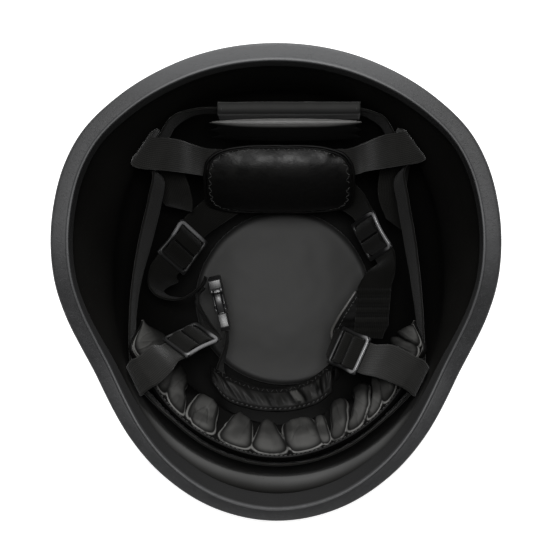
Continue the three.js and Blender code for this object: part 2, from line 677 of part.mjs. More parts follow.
// The front straps: up the wall, folded over the ring, down to their slide adjuster.
function frontStrapStart(side) {
  const place = boltPlaces[side > 0 ? "front_right" : "front_left"];
  const end = endOnWall(place, 1, [-9, 13.6]);
  const wall = side > 0 ? swapped(end) : end;
  return [
    ...wall,
    row([side * 87.4, -48.0, 113.6], [side * 76.0, -65.4, 113.6]),
    row([side * 83.6, -46.4, 114.4], [side * 72.4, -63.4, 114.4]),
  ];
}

function leftFrontRows() {
  return [
    ...frontStrapStart(-1),
    row([-76.4, -39.6, 103.6], [-64.6, -55.6, 105.0]),
    ...swapped(weave(slidePlaces.front_left)),
    row([-50.6, -17.6, 57.0], [-42.4, -25.2, 73.4]),
    row([-53.4, -11.0, 47.8], [-49.6, -13.4, 67.0]),
    row([-51.4, -6.6, 44.2], [-50.4, -7.0, 64.2]),
    row([-47.6, -2.4, 44.0], [-47.6, -2.4, 64.0]),
  ];
}

function rightFrontRows() {
  return [
    ...frontStrapStart(1),
    row([70.4, -39.2, 101.6], [60.0, -58.6, 102.0]),
    ...weave(slidePlaces.front_right),
    row([35.6, -28.4, 60.4], [29.4, -45.8, 60.4]),
  ];
}

// The side-release buckle, closed, standing on edge: a socket with a plug in it.
const buckle = { from: vec(-41.4, 4.2, 54.5), to: vec(-33.8, -28.8, 50.5), width: 25, thickness: 7.6, socketShare: 0.66 };

function buckleFrame() {
  const u = buckle.to.clone().sub(buckle.from).normalize();
  const n = vec(u.y, -u.x, 0).normalize();
  return new THREE.Matrix4().makeBasis(u, n.clone().cross(u), n).setPosition(buckle.from);
}

function bucklePlate(outline, slotMiddle, thickness) {
  const shape = new THREE.Shape(outline.map(([x, y]) => new THREE.Vector2(x, y)));
  const bevel = { bevelEnabled: true, bevelThickness: 0.9, bevelSize: 0.9, bevelOffset: -0.9, bevelSegments: 1 };
  const plate = new THREE.ExtrudeGeometry(shape, { depth: thickness - 1.8, ...bevel });
  plate.translate(0, 0, -thickness / 2 + 0.9);
  const slot = new THREE.BoxGeometry(3.2, web.width + 0.8, 20).translate(slotMiddle, 0, 0);
  return fromManifold(toManifold(plate).subtract(toManifold(slot))).applyMatrix4(buckleFrame());
}

function buckleSocketGeometry() {
  const end = buckle.from.distanceTo(buckle.to) * buckle.socketShare;
  const half = buckle.width / 2;
  const outline = [
    [0, -half + 2], [2, -half], [end - 6, -half], [end, -half + 1.6],
    [end, half - 1.6], [end - 6, half], [2, half], [0, half - 2],
  ];
  return bucklePlate(outline, 4.8, buckle.thickness);
}

function bucklePlugGeometry() {
  const length = buckle.from.distanceTo(buckle.to);
  const start = length * buckle.socketShare + seatGap;
  const half = buckle.width / 2;
  const outline = [
    [start, -half + 1.6], [length - 1.6, -half + 0.6], [length, -half + 2],
    [length, half - 2], [length - 1.6, half - 0.6], [start, half - 1.6],
  ];
  return bucklePlate(outline, length - 4.8, buckle.thickness * 0.8);
}

// The strap from the plug, under the left end of the chin cup.
function chinStrapLeftRows() {
  return [
    row([-33.4, -30.4, 62.0], [-33.4, -30.0, 42.0]),
    row([-32.4, -36.4, 62.0], [-32.0, -36.4, 42.0]),
    row([-31.8, -43.4, 62.0], [-30.6, -43.4, 42.2]),
    row([-34.0, -51.0, 61.0], [-27.4, -52.0, 42.6]),
    row([-37.4, -55.6, 60.4], [-22.8, -61.4, 48.4]),
    row([-38.8, -59.4, 59.0], [-19.8, -67.6, 54.8]),
    row([-38.6, -63.6, 61.8], [-18.4, -73.0, 60.4]),
  ];
}

// The chin cup: a stitched crescent lying against the sweatband, from its left end to its right end.
const chinCupRows = [
  { inner: [-46.0, -51.8, 63], outer: [-38.0, -66.8, 71] },
  { inner: [-33.0, -59.0, 61], outer: [-28.0, -73.2, 72] },
  { inner: [-18.0, -65.2, 59.6], outer: [-16.6, -78.6, 72] },
  { inner: [-2.6, -67.8, 59], outer: [-4.4, -80.6, 72] },
  { inner: [12.4, -64.6, 59.6], outer: [9.6, -79.4, 72] },
  { inner: [25.6, -57.6, 61.4], outer: [22.2, -75.2, 71.6] },
  { inner: [34.4, -49.8, 63], outer: [31.4, -70.4, 70.6] },
];
const chinCupThickness = 3.4;

// The cheek tab that joins the right straps to the chin cup.
function cheekTabRows() {
  return [
    row([48.4, -4.6, 63.2], [66.6, -5.2, 63.2]),
    row([42.8, -13.0, 62.8], [63.6, -14.4, 62.8]),
    row([36.6, -22.6, 61.0], [58.6, -24.6, 61.0]),
    row([33.0, -31.0, 57.4], [53.0, -35.0, 56.6]),
    row([35.0, -40.4, 55.6], [47.4, -46.6, 54.6]),
    row([35.8, -46.8, 58.4], [41.0, -54.6, 58.0]),
    row([36.0, -52.6, 63.0], [35.2, -61.6, 66.2]),
  ];
}

const materials = {
  shell: new THREE.MeshStandardMaterial({ color: 0x141414, roughness: 0.6, metalness: 0 }),
  rubber: new THREE.MeshStandardMaterial({ color: 0x3a3b3d, roughness: 0.55, metalness: 0 }),
  webbing: new THREE.MeshStandardMaterial({ color: 0x24231f, roughness: 0.9, metalness: 0 }),
  leather: new THREE.MeshStandardMaterial({ color: 0x161616, roughness: 0.35, metalness: 0 }),
  pad: new THREE.MeshStandardMaterial({ color: 0x303030, roughness: 0.5, metalness: 0 }),
  plastic: new THREE.MeshStandardMaterial({ color: 0x101010, roughness: 0.3, metalness: 0 }),
  metal: new THREE.MeshStandardMaterial({ color: 0x1a1a1a, roughness: 0.45, metalness: 0.6 }),
};

const helmet = new THREE.Group();

function piece(name, geometry, material) {
  const mesh = new THREE.Mesh(geometry, material.clone());
  mesh.name = name;
  helmet.add(mesh);
  return mesh;
}

// A strap whose end is drilled for its bolt.
function boltedStrap(name, rows, bolt) {
  return piece(name, drilled(strap(rows, web.thickness, 2), [boltPlaces[bolt]]), materials.webbing);
}


piece("shell", shellGeometry(), materials.shell);
piece("edge_trim", trimGeometry(), materials.rubber);
for (const [name, place] of Object.entries(boltPlaces)) helmet.add(boltMesh(`bolt_${name}`, place));
piece("suspension_ring", ringGeometry(), materials.webbing);
piece("sweatband", sweatbandGeometry(), materials.leather);
piece("crown_pad", crownPadGeometry(), materials.pad);
piece("nape_pad", napePadGeometry(), materials.leather);
piece("back_pad", backPadGeometry(), materials.leather);
piece("back_flap", backFlapGeometry(), materials.leather);
boltedStrap("nape_strap_right", napeStrapRight, "rear_right");
boltedStrap("nape_strap_left", mirroredRows(napeStrapLeft), "rear_left");
boltedStrap("hanger_right", hangerRight, "rear_right");
boltedStrap("hanger_left", hangerLeft, "rear_left");
piece("rear_strap_right", strap(rightRearRows(), web.thickness, 2), materials.webbing);
piece("rear_strap_left", strap(leftRearRows(), web.thickness, 2), materials.webbing);
boltedStrap("front_strap_right", rightFrontRows(), "front_right");
boltedStrap("front_strap_left", leftFrontRows(), "front_left");
for (const [name, place] of Object.entries(slidePlaces)) {
  piece(`slide_${name}`, slideGeometry(place), materials.plastic);
}
piece("buckle_socket", buckleSocketGeometry(), materials.plastic);
piece("buckle_plug", bucklePlugGeometry(), materials.plastic);
piece("chin_strap_left", strap(chinStrapLeftRows()), materials.webbing);
piece("chin_cup", strap(chinCupRows.map((r) => row(r.inner, r.outer)), chinCupThickness), materials.leather);
piece("cheek_tab", strap(cheekTabRows(), 2.2), materials.leather);

// The frame's origin is under the middle of the bounding box, at the crown's resting height.
const box = new THREE.Box3().setFromObject(helmet);
helmet.position.set(-(box.min.x + box.max.x) / 2, -(box.min.y + box.max.y) / 2, -box.min.z);

const part = new THREE.Group();
part.add(helmet);

export default part;
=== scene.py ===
import bpy, bmesh, math
from mathutils import Vector, Matrix, noise
from mathutils.bvhtree import BVHTree


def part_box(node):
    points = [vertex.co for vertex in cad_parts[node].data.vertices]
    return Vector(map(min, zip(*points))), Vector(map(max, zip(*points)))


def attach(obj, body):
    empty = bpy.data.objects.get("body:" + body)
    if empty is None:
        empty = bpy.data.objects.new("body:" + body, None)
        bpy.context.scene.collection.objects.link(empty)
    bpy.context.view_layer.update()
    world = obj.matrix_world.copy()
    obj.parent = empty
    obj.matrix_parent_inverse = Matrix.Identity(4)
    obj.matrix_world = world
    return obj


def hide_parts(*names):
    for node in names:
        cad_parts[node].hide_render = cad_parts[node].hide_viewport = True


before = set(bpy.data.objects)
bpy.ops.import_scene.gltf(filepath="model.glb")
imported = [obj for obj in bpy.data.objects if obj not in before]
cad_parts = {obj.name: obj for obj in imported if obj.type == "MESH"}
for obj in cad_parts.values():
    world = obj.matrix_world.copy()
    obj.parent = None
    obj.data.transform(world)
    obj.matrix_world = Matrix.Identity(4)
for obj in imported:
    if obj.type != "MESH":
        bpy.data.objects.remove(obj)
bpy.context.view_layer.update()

# the tables are in millimetres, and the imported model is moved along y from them: its back flap shows how far
flapInnerFace = 97.9
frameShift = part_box("back_flap")[0][1] * 1000 - flapInnerFace


def mm(*p):
    x, y, z = p if len(p) == 3 else p[0]
    return Vector((x, y + frameShift, z)) / 1000


def blend(a, b, t):
    return a + (b - a) * t


def smooth(low, high, x):
    t = min(max((x - low) / (high - low), 0.0), 1.0)
    return t * t * (3 - 2 * t)


# finishes

class Signal:
    def __init__(self, finish, socket):
        self.finish, self.socket = finish, socket

    def __add__(self, other):
        return self.finish.maths("ADD", self, other)

    def __radd__(self, other):
        return self.finish.maths("ADD", other, self)

    def __sub__(self, other):
        return self.finish.maths("SUBTRACT", self, other)

    def __rsub__(self, other):
        return self.finish.maths("SUBTRACT", other, self)

    def __mul__(self, other):
        return self.finish.maths("MULTIPLY", self, other)

    def __rmul__(self, other):
        return self.finish.maths("MULTIPLY", other, self)

    def abs(self):
        return self.finish.maths("ABSOLUTE", self)

    def sin(self):
        return self.finish.maths("SINE", self)

    def floor(self):
        return self.finish.maths("FLOOR", self)

    def fract(self):
        return self.finish.maths("FRACT", self)

    def atLeast(self, other):
        return self.finish.maths("MAXIMUM", self, other)

    def ramp(self, low, high):
        return self.finish.out("ShaderNodeMapRange", {"interpolation_type": "SMOOTHSTEP"},
                               {"Value": self, "From Min": low, "From Max": high}, "Result")


class Finish:
    def __init__(self, name, colour, roughness, **sockets):
        self.material = bpy.data.materials.new(name)
        self.material.use_nodes = True
        self.tree = self.material.node_tree
        self.shader = self.tree.nodes["Principled BSDF"]
        self.shader.inputs["Base Color"].default_value = (*colour, 1)
        self.shader.inputs["Roughness"].default_value = roughness
        for key, value in sockets.items():
            self.shader.inputs[key.replace("_", " ")].default_value = value
        self.heights = []

    def node(self, kind, settings=None, values=None):
        made = self.tree.nodes.new(kind)
        for key, value in (settings or {}).items():
            setattr(made, key, value)
        for key, value in (values or {}).items():
            if isinstance(value, Signal):
                self.tree.links.new(value.socket, made.inputs[key])
            else:
                made.inputs[key].default_value = value
        return made

    def out(self, kind, settings=None, values=None, key=0):
        return Signal(self, self.node(kind, settings, values).outputs[key])

    def maths(self, operation, *values):
        return self.out("ShaderNodeMath", {"operation": operation}, dict(enumerate(values)))

    def place(self):
        return self.out("ShaderNodeTexCoord", key="Object")

    def lay(self):
        read = self.out("ShaderNodeAttribute", {"attribute_name": "lay"}, key="Vector")
        split = self.node("ShaderNodeSeparateXYZ", values={0: read})
        return [Signal(self, split.outputs[i]) for i in range(3)]

    def height(self, axis=2):
        split = self.node("ShaderNodeSeparateXYZ", values={0: self.place()})
        return Signal(self, split.outputs[axis]) * 1000

    def grain(self, size, detail=2.0, rough=0.5, stretch=(1, 1, 1)):
        where = self.place()
        if stretch != (1, 1, 1):
            where = self.out("ShaderNodeMapping", values={"Vector": where, "Scale": stretch}, key=0)
        values = {"Vector": where, "Scale": 1000 / size, "Detail": detail, "Roughness": rough}
        return self.out("ShaderNodeTexNoise", values=values)

    def cells(self, size, feature="F1"):
        return self.out("ShaderNodeTexVoronoi", {"feature": feature},
                        {"Vector": self.place(), "Scale": 1000 / size}, "Distance")

    def mix(self, share, one, other):
        made = self.node("ShaderNodeMix", {"data_type": "RGBA"})
        for index, value in ((0, share), (6, one), (7, other)):
            if isinstance(value, Signal):
                self.tree.links.new(value.socket, made.inputs[index])
            elif index:
                made.inputs[index].default_value = (*value, 1)
            else:
                made.inputs[index].default_value = value
        return Signal(self, made.outputs[2])

    def feed(self, key, signal):
        self.tree.links.new(signal.socket, self.shader.inputs[key])

    def bump(self, height, depth, strength=1.0):
        values = {"Height": height, "Distance": depth / 1000, "Strength": strength}
        if self.heights:
            values["Normal"] = self.heights[-1]
        self.heights.append(self.out("ShaderNodeBump", values=values))
        self.feed("Normal", self.heights[-1])


def shellPaint():
    look = {"colour": (0.0055, 0.0052, 0.0046), "worn": (0.0085, 0.0082, 0.0074),
            "specks": (0.02, 0.0195, 0.018), "shoulder": (0.085, 0.085, 0.084),
            "paintedShadeUnderTrim": (0.001, 0.001, 0.0009)}
    made = Finish("shellPaint", look["colour"], 0.62, Specular_IOR_Level=0.13)
    shoulder, paintedShadeUnderTrim, bowl = made.lay()
    fine = made.grain(1.1, 3, 0.6)
    broad = made.grain(38, 3)
    speck = made.cells(2.6).ramp(0.24, 0.08) * made.grain(9, 1).ramp(0.52, 0.7)
    shade = made.mix(broad.ramp(0.35, 0.7) * 0.5, look["colour"], look["worn"])
    # painted highlight: a pale band (the shoulder) painted round the inside of the visor
    shade = made.mix(shoulder * (0.5 + broad), shade, look["shoulder"])
    # painted shade: the visor wall under the trim and the deep bowl are painted nearly black
    shade = made.mix(paintedShadeUnderTrim.atLeast(bowl * 0.85), shade, look["paintedShadeUnderTrim"])
    made.feed("Base Color", made.mix(speck * 0.55, shade, look["specks"]))
    made.feed("Roughness", 0.56 + fine * 0.14 + broad * 0.06 + paintedShadeUnderTrim * 0.3 - shoulder * 0.14)
    made.bump(fine, 0.16, 0.55)
    made.bump(broad, 0.3, 0.25)
    return made


def trimRubber():
    look = {"colour": (0.023, 0.0233, 0.0245), "worn": (0.042, 0.0428, 0.0445),
            "nape": (0.062, 0.0632, 0.0655), "bead": (0.12, 0.121, 0.124), "mottleAndShade": (0.013, 0.0132, 0.0138),
            "shade": (0.004, 0.004, 0.0042)}
    made = Finish("trimRubber", look["colour"], 0.5, Specular_IOR_Level=0.5)
    bead, leg, rim = made.lay()
    fine = made.grain(0.7, 3, 0.62)
    broad = made.grain(22, 4, 0.6)
    scuffs = made.grain(2.2, 4, 0.7, (1, 1.9, 1.9)).ramp(0.5, 0.72)
    mottle = made.grain(5, 5, 0.75)
    wear = broad.ramp(0.3, 0.75) * 0.35 + scuffs * 0.3 + fine.ramp(0.45, 0.7) * 0.25
    shade = made.mix(wear, look["colour"], look["worn"])
    shade = made.mix(mottle.ramp(0.42, 0.62) * 0.4, shade, look["mottleAndShade"])
    # painted highlight: the trim is painted lighter towards the nape
    nape = made.height(1).ramp(90, 140)
    shade = made.mix(nape * 0.9, shade, look["nape"])
    # painted highlight: a pale line painted along the inner bead
    shade = made.mix(bead * (0.55 + nape * 0.2), shade, look["bead"])
    # painted shade: the trim is painted darker on its flanks, between the sides and the nape; the same darker
    # tone also serves the random mottle above
    paintedFlankShade = made.height(1).ramp(35, 65) * made.height(1).ramp(128, 98)
    shade = made.mix(paintedFlankShade * 0.42, shade, look["mottleAndShade"])
    # painted shade: the inner leg and the outer leg are painted near black
    made.feed("Base Color", made.mix(leg.atLeast(rim * 0.7), shade, look["shade"]))
    made.feed("Roughness", 0.42 + fine * 0.2 + broad * 0.1 + leg * 0.3)
    made.bump(fine, 0.14, 0.8)
    made.bump(scuffs, 0.12, 0.5)
    made.bump(broad, 0.2, 0.2)
    return made


def webbingWeave(name, colour, light, sheen=0.2, specular=0.2):
    made = Finish(name, colour, 0.85, Specular_IOR_Level=specular, Sheen_Weight=sheen, Sheen_Roughness=0.5)
    across, along, _ = made.lay()
    ends = across * (1 / 1.15)
    step = ends.floor()
    lean = (step * 0.5).fract() * 2 - 0.5
    picks = along * (1 / 0.95) + ends.fract() * lean
    rib = (ends.fract() - 0.5).abs() * 2
    thread = (picks.fract() - 0.5).abs() * 2
    weave = (1 - rib * rib) * (1 - thread * thread * 0.8)
    fuzz = made.grain(0.5, 3, 0.7)
    wear = made.grain(14, 3).ramp(0.4, 0.75)
    shade = made.mix(weave * 0.7 + wear * 0.2, colour, light)
    made.feed("Base Color", made.mix(fuzz.ramp(0.55, 0.8) * 0.25, shade, light))
    made.feed("Roughness", 0.92 - weave * 0.18)
    made.bump(weave, 0.22, 0.75)
    made.bump(fuzz, 0.07, 0.5)
    return made


def vinyl(name, roughness, crease, shade, specular):
    look = {"colour": (shade, shade * 0.98, shade * 0.93), "dust": (shade * 3, shade * 2.95, shade * 2.8)}
    made = Finish(name, look["colour"], roughness, Specular_IOR_Level=specular)
    pores = made.cells(0.9, "SMOOTH_F1")
    crinkle = made.grain(5.5, 5, 0.62, (1, 1, 1.6))
    broad = made.grain(17, 2)
    made.feed("Base Color", made.mix(broad.ramp(0.45, 0.8) * 0.3 + pores.ramp(0.5, 0.1) * 0.12,
                                     look["colour"], look["dust"]))
    made.feed("Roughness", roughness - 0.04 + crinkle * 0.1 + broad * 0.1)
    made.bump(pores, 0.07, 0.35)
    made.bump(crinkle, 0.8, crease * 0.45)
    return made


def gatheredLeather(name, face, rim, roughness):
    valley = (0.0018, 0.0017, 0.0016)
    made = Finish(name, face, roughness, Specular_IOR_Level=0.08)
    edge, depth, share = made.lay()
    broad = made.grain(9, 3, 0.6)
    crinkle = made.grain(4.5, 5, 0.62, (1, 1, 1.6))
    # painted highlight: thin pale crests along the puffs' edges
    ridge = edge.ramp(0.68, 0.82) * edge.ramp(0.99, 0.9) * broad.ramp(0.28, 0.48)
    soft = made.grain(15, 1)
    # painted highlight: the puffs' crowns are painted pale and their flanks dark, dimmer towards the inner end
    # as painted shade
    crown = edge.ramp(0.66, 0.1) * (0.45 + soft.ramp(0.35, 0.62) * 0.55)
    shade = made.mix(crown * (1 - 0.75 * share), tuple(0.3 * a for a in face), tuple(2.7 * a for a in face))
    shade = made.mix(ridge * (0.95 - 0.6 * share), shade, rim)
    # painted shade: valleys, undersides and the inner end are painted near black
    dark = (edge.ramp(0.95, 1.08) * 0.9).atLeast(depth).atLeast(share.ramp(0.5, 1.05) * 0.85)
    made.feed("Base Color", made.mix(dark, shade, valley))
    made.feed("Roughness", roughness - 0.03 + dark * 0.4 + crinkle * 0.08)
    made.bump(made.cells(0.9, "SMOOTH_F1"), 0.06, 0.3)
    made.bump(crinkle, 0.7, 0.25)
    return made


def pillowSkin():
    look = {"colour": (0.004, 0.0039, 0.0037), "side": (0.0022, 0.0022, 0.002), "top": (0.19, 0.189, 0.184)}
    made = Finish("pillowSkin", look["colour"], 0.36, Specular_IOR_Level=0.3)
    crinkle = made.grain(5.5, 5, 0.62, (1, 1, 1.6))
    # painted highlight: the top of the back pad is painted pale and its sides dark
    top = made.height().ramp(118.5, 123)
    made.feed("Base Color", made.mix(top * (0.6 + crinkle * 0.5), look["side"], look["top"]))
    made.feed("Roughness", 0.62 - top * 0.27 + crinkle * 0.1)
    made.bump(crinkle, 0.6, 0.25)
    return made


def napeSkin():
    look = {"colour": (0.0026, 0.0025, 0.0024), "paintedSheen": (0.021, 0.0206, 0.0199)}
    made = Finish("napeSkin", look["colour"], 0.46, Specular_IOR_Level=0.24)
    pores = made.cells(0.9, "SMOOTH_F1")
    crinkle = made.grain(5.5, 5, 0.62, (1, 1, 1.6))
    # painted sheen: pale patches painted near the top of the nape pad
    sheenPatches = made.grain(15, 4, 0.55).ramp(0.42, 0.6) * made.height(1).ramp(65, 76)
    made.feed("Base Color", made.mix(sheenPatches * 0.6 + pores.ramp(0.5, 0.1) * 0.08,
                                     look["colour"], look["paintedSheen"]))
    made.feed("Roughness", 0.46 + crinkle * 0.12 - sheenPatches * 0.12)
    made.bump(pores, 0.07, 0.35)
    made.bump(crinkle, 0.8, 0.42)
    return made


def slideRail():
    look = {"colour": (0.006, 0.006, 0.006), "dark": (0.005, 0.005, 0.005), "lit": (0.17, 0.17, 0.173)}
    made = Finish("slideRail", look["colour"], 0.24, Specular_IOR_Level=0.6)
    lit, _, _ = made.lay()
    spark = made.grain(0.7, 3, 0.6)
    # painted highlight: the rail is painted pale on the side that faces the light
    made.feed("Base Color", made.mix(lit * (0.7 + spark * 0.5), look["dark"], look["lit"]))
    made.feed("Roughness", 0.46 - lit * 0.26 + spark * 0.14)
    made.bump(spark, 0.05, 0.4)
    return made


def padCover():
    look = {"colour": (0.031, 0.031, 0.03), "light": (0.045, 0.045, 0.044)}
    made = Finish("padCover", look["colour"], 0.5, Specular_IOR_Level=0.3, Sheen_Weight=0.08)
    share, _, _ = made.lay()
    broad = made.grain(26, 4, 0.55)
    fine = made.grain(0.8, 2)
    shade = made.mix(broad.ramp(0.35, 0.7) * 0.6, look["colour"], look["light"])
    # painted shade: the pad is painted dark round its edge
    made.feed("Base Color", made.mix(share.ramp(0.86, 0.98) * 0.85, shade, (0.006, 0.006, 0.0058)))
    made.feed("Roughness", 0.5 + broad * 0.14 + fine * 0.05)
    made.bump(fine, 0.05, 0.4)
    made.bump(broad, 0.7, 0.25)
    return made


def flapCloth():
    look = {"colour": (0.022, 0.022, 0.021), "light": (0.036, 0.036, 0.0345)}
    made = Finish("flapCloth", look["colour"], 0.7, Specular_IOR_Level=0.3, Sheen_Weight=0.2)
    across, along, _ = made.lay()
    weave = ((across * 9).sin() * (along * 9).sin()) * 0.5 + 0.5
    broad = made.grain(9, 4, 0.6)
    shade = made.mix(broad * 0.6 + weave * 0.2, look["colour"], look["light"])
    # painted shade: the flap's inner wall and bend are painted dark
    made.feed("Base Color", made.mix(along.ramp(13.5, 10), shade, (0.003, 0.003, 0.0028)))
    made.bump(weave, 0.08, 0.5)
    made.bump(broad, 0.8, 0.3)
    return made


def mouldedPlastic():
    look = {"colour": (0.009, 0.009, 0.0095), "worn": (0.07, 0.07, 0.072), "roughness": 0.26}
    made = Finish("mouldedPlastic", look["colour"], look["roughness"], Specular_IOR_Level=0.6)
    spark = made.grain(0.7, 3, 0.6)
    broad = made.grain(6, 3)
    edge = made.out("ShaderNodeNewGeometry", key="Pointiness").ramp(0.52, 0.6)
    made.feed("Base Color", made.mix(edge * 0.6 + broad.ramp(0.5, 0.8) * 0.15, look["colour"], look["worn"]))
    made.feed("Roughness", look["roughness"] - 0.02 + spark * 0.14 + broad * 0.08)
    made.bump(spark, 0.06, 0.5)
    return made


def blackSteel():
    look = {"colour": (0.03, 0.03, 0.032), "worn": (0.16, 0.16, 0.165)}
    made = Finish("blackSteel", look["colour"], 0.35, Metallic=0.85)
    worn = made.out("ShaderNodeNewGeometry", key="Pointiness").ramp(0.51, 0.58) * made.grain(1.8, 4, 0.7)
    made.feed("Base Color", made.mix(worn, look["colour"], look["worn"]))
    made.feed("Roughness", 0.32 + made.grain(2.2, 3) * 0.2)
    made.bump(made.grain(0.9, 3), 0.05, 0.5)
    return made


def sewingThread(name, dark, light, sheen):
    made = Finish(name, dark, 0.55, Sheen_Weight=sheen)
    _, along, _ = made.lay()
    twist = (along * 7).sin() * 0.5 + 0.5
    made.feed("Base Color", made.mix(twist, dark, light))
    made.bump(twist, 0.08, 0.6)
    return made


paint, rubber, cover, cloth = shellPaint(), trimRubber(), padCover(), flapCloth()
# one webbing in lit and shaded copies: the nape straps' copy is the lightest, and the front straps', the
# ring's and hangers', and the rear and chin straps' copies are darker as painted shade
webbing = webbingWeave("webbing", (0.0022, 0.0022, 0.0018), (0.0265, 0.026, 0.0242))
shadedFrontWeb = webbingWeave("shadedFrontWeb", (0.0022, 0.0022, 0.0018), (0.0205, 0.0201, 0.0187), 0.15, 0.15)
shadedWebbing = webbingWeave("shadedWebbing", (0.0022, 0.0022, 0.0018), (0.0088, 0.0086, 0.0078), 0.06, 0.08)
shadedRingWeb = webbingWeave("shadedRingWeb", (0.002, 0.002, 0.0017), (0.015, 0.0148, 0.0136), 0.08, 0.08)
leather = gatheredLeather("gatheredLeather", (0.03, 0.0297, 0.0286), (0.13, 0.129, 0.124), 0.42)
cupFolds = gatheredLeather("cupFolds", (0.0065, 0.0064, 0.0062), (0.055, 0.0545, 0.052), 0.46)
cupSkin = vinyl("cupSkin", 0.42, 0.5, 0.003, 0.14)
# painted highlight: the piping's vinyl is a lighter copy, so that the round piping reads as a bright line
piping = vinyl("piping", 0.3, 0.2, 0.07, 0.5)
strapSkin = vinyl("tabSkin", 0.6, 0.4, 0.0022, 0.1)
padSkin, backSkin, rail = napeSkin(), pillowSkin(), slideRail()
plastic, steel = mouldedPlastic(), blackSteel()
thread = sewingThread("sewingThread", (0.012, 0.012, 0.011), (0.05, 0.05, 0.048), 0.3)
darkThread = sewingThread("darkThread", (0.002, 0.002, 0.002), (0.012, 0.012, 0.0115), 0)
print("finishes made")


# mesh helpers

def makePiece(name, points, faces, finish, stands=(), lay=None):
    mesh = bpy.data.meshes.new(name)
    mesh.from_pydata([mm(p) for p in points], [], faces)
    mesh.validate()
    piece = bpy.data.objects.new(name, mesh)
    bpy.context.scene.collection.objects.link(piece)
    shadeSmooth(piece)
    mesh.materials.append(finish.material)
    if lay:
        store = mesh.attributes.new("lay", "FLOAT_VECTOR", "POINT")
        store.data.foreach_set("vector", [c for p in lay for c in p])
    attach(piece, "root")
    if stands:
        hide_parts(*stands)
    return piece


def shadeSmooth(piece):
    piece.data.polygons.foreach_set("use_smooth", [True] * len(piece.data.polygons))


def loftFaces(count, size, isLoop=False):
    faces = []
    for i in range(count if isLoop else count - 1):
        here, after = i * size, (i + 1) % count * size
        for j in range(size):
            k = (j + 1) % size
            faces.append((here + j, here + k, after + k, after + j))
    if not isLoop:
        faces.append(tuple(reversed(range(size))))
        faces.append(tuple(range((count - 1) * size, count * size)))
    return faces


def facesOut(piece):
    work = bmesh.new()
    work.from_mesh(piece.data)
    bmesh.ops.recalc_face_normals(work, faces=work.faces)
    work.to_mesh(piece.data)
    work.free()
    return piece


def makeLoft(name, rings, finish, stands=(), lay=None, isLoop=False):
    points = [p for ring in rings for p in ring]
    faces = loftFaces(len(rings), len(rings[0]), isLoop)
    return facesOut(makePiece(name, points, faces, finish, stands, lay))


def modify(piece, kind, **settings):
    modifier = piece.modifiers.new(kind.lower(), kind)
    for key, value in settings.items():
        setattr(modifier, key, value)
    return modifier


def applyAll(piece):
    graph = bpy.context.evaluated_depsgraph_get()
    mesh = bpy.data.meshes.new_from_object(piece.evaluated_get(graph))
    old = piece.data
    piece.modifiers.clear()
    piece.data = mesh
    bpy.data.meshes.remove(old)


def roundEdges(piece, width, angle):
    modify(piece, "BEVEL", width=width / 1000, segments=3, limit_method="ANGLE",
           angle_limit=math.radians(angle))
    applyAll(piece)
    shadeSmooth(piece)


def splinePoint(points, t, isLoop=False):
    count = len(points)
    p = (count - (0 if isLoop else 1)) * t
    i = math.floor(p)
    w = p - i
    if isLoop:
        i %= count
    elif i >= count - 1:
        i, w = count - 2, 1.0
    b, c = points[i % count], points[(i + 1) % count]
    a = points[(i - 1) % count] if isLoop or i > 0 else points[0] * 2 - points[1]
    d = points[(i + 2) % count] if isLoop or i + 2 < count else points[-1] * 2 - points[-2]
    e0, e1, e2 = [max((m - n).length, 1e-4) ** 0.5 for m, n in ((a, b), (b, c), (c, d))]
    s = ((b - a) / e0 - (c - a) / (e0 + e1) + (c - b) / e1) * e1
    f = ((c - b) / e1 - (d - b) / (e1 + e2) + (d - c) / e2) * e1
    return b + s * w + (b * -3 + c * 3 - s * 2 - f) * w * w + (b * 2 - c * 2 + s + f) * w ** 3


def tableAt(rows, column, at):
    last = len(rows) - 1

    def row(i):
        inside = -i if i < 0 else (2 * last - i if i > last else i)
        if i == inside:
            return rows[i][0], rows[i][column]
        return (-rows[inside][0] if i < 0 else 2 * rows[last][0] - rows[inside][0]), rows[inside][column]

    i = 0
    while i < last - 1 and rows[i + 1][0] < at:
        i += 1
    (p0, p1), (a0, a1), (b0, b1), (n0, n1) = row(i - 1), row(i), row(i + 1), row(i + 2)
    span = b0 - a0
    sa, sb = (b1 - p1) / (b0 - p0) * span, (n1 - a1) / (n0 - a0) * span
    t = (at - a0) / span
    rising = (2 * t**3 - 3 * t**2 + 1) * a1 + (t**3 - 2 * t**2 + t) * sa
    return rising + (3 * t**2 - 2 * t**3) * b1 + (t**3 - t**2) * sb


# the shell: its outer skin is read by azimuth, from the nape, and level: 0 the crown, 1 the belt, 2 the rim

shell = {"wall": 7.4, "beltHeight": 94, "beltHalfWidth": 108, "beltToNape": 124, "beltToBrow": 124,
         "crownY": 6, "fullness": 2.25, "napeFullness": 2.3, "browFullness": 2.1, "crownFlat": 5}
rimStations = [  # azimuth, radius, height, upright
    (0, 130.9, 170.5, 0.6), (25, 132.3, 170.5, 0.6), (42, 134.5, 170.3, 0.8), (53, 135.9, 169.8, 1),
    (62, 134.6, 169.0, 1), (72, 131.4, 167.8, 1), (82, 128.2, 165.2, 1), (92, 125.2, 159.0, 1),
    (101, 122.1, 149.5, 0.9), (110, 119.4, 139.5, 0.7), (118, 118.8, 132.8, 0.4), (127, 121.2, 129.4, 0.2),
    (138, 126.2, 128.6, 0), (150, 132.0, 129.0, 0), (165, 138.0, 130.2, 0), (180, 140.4, 130.8, 0)]


def fromNape(azimuth):
    return abs((azimuth + 180) % 360 - 180)


def rimValue(azimuth, column):
    return tableAt(rimStations, column, fromNape(azimuth))


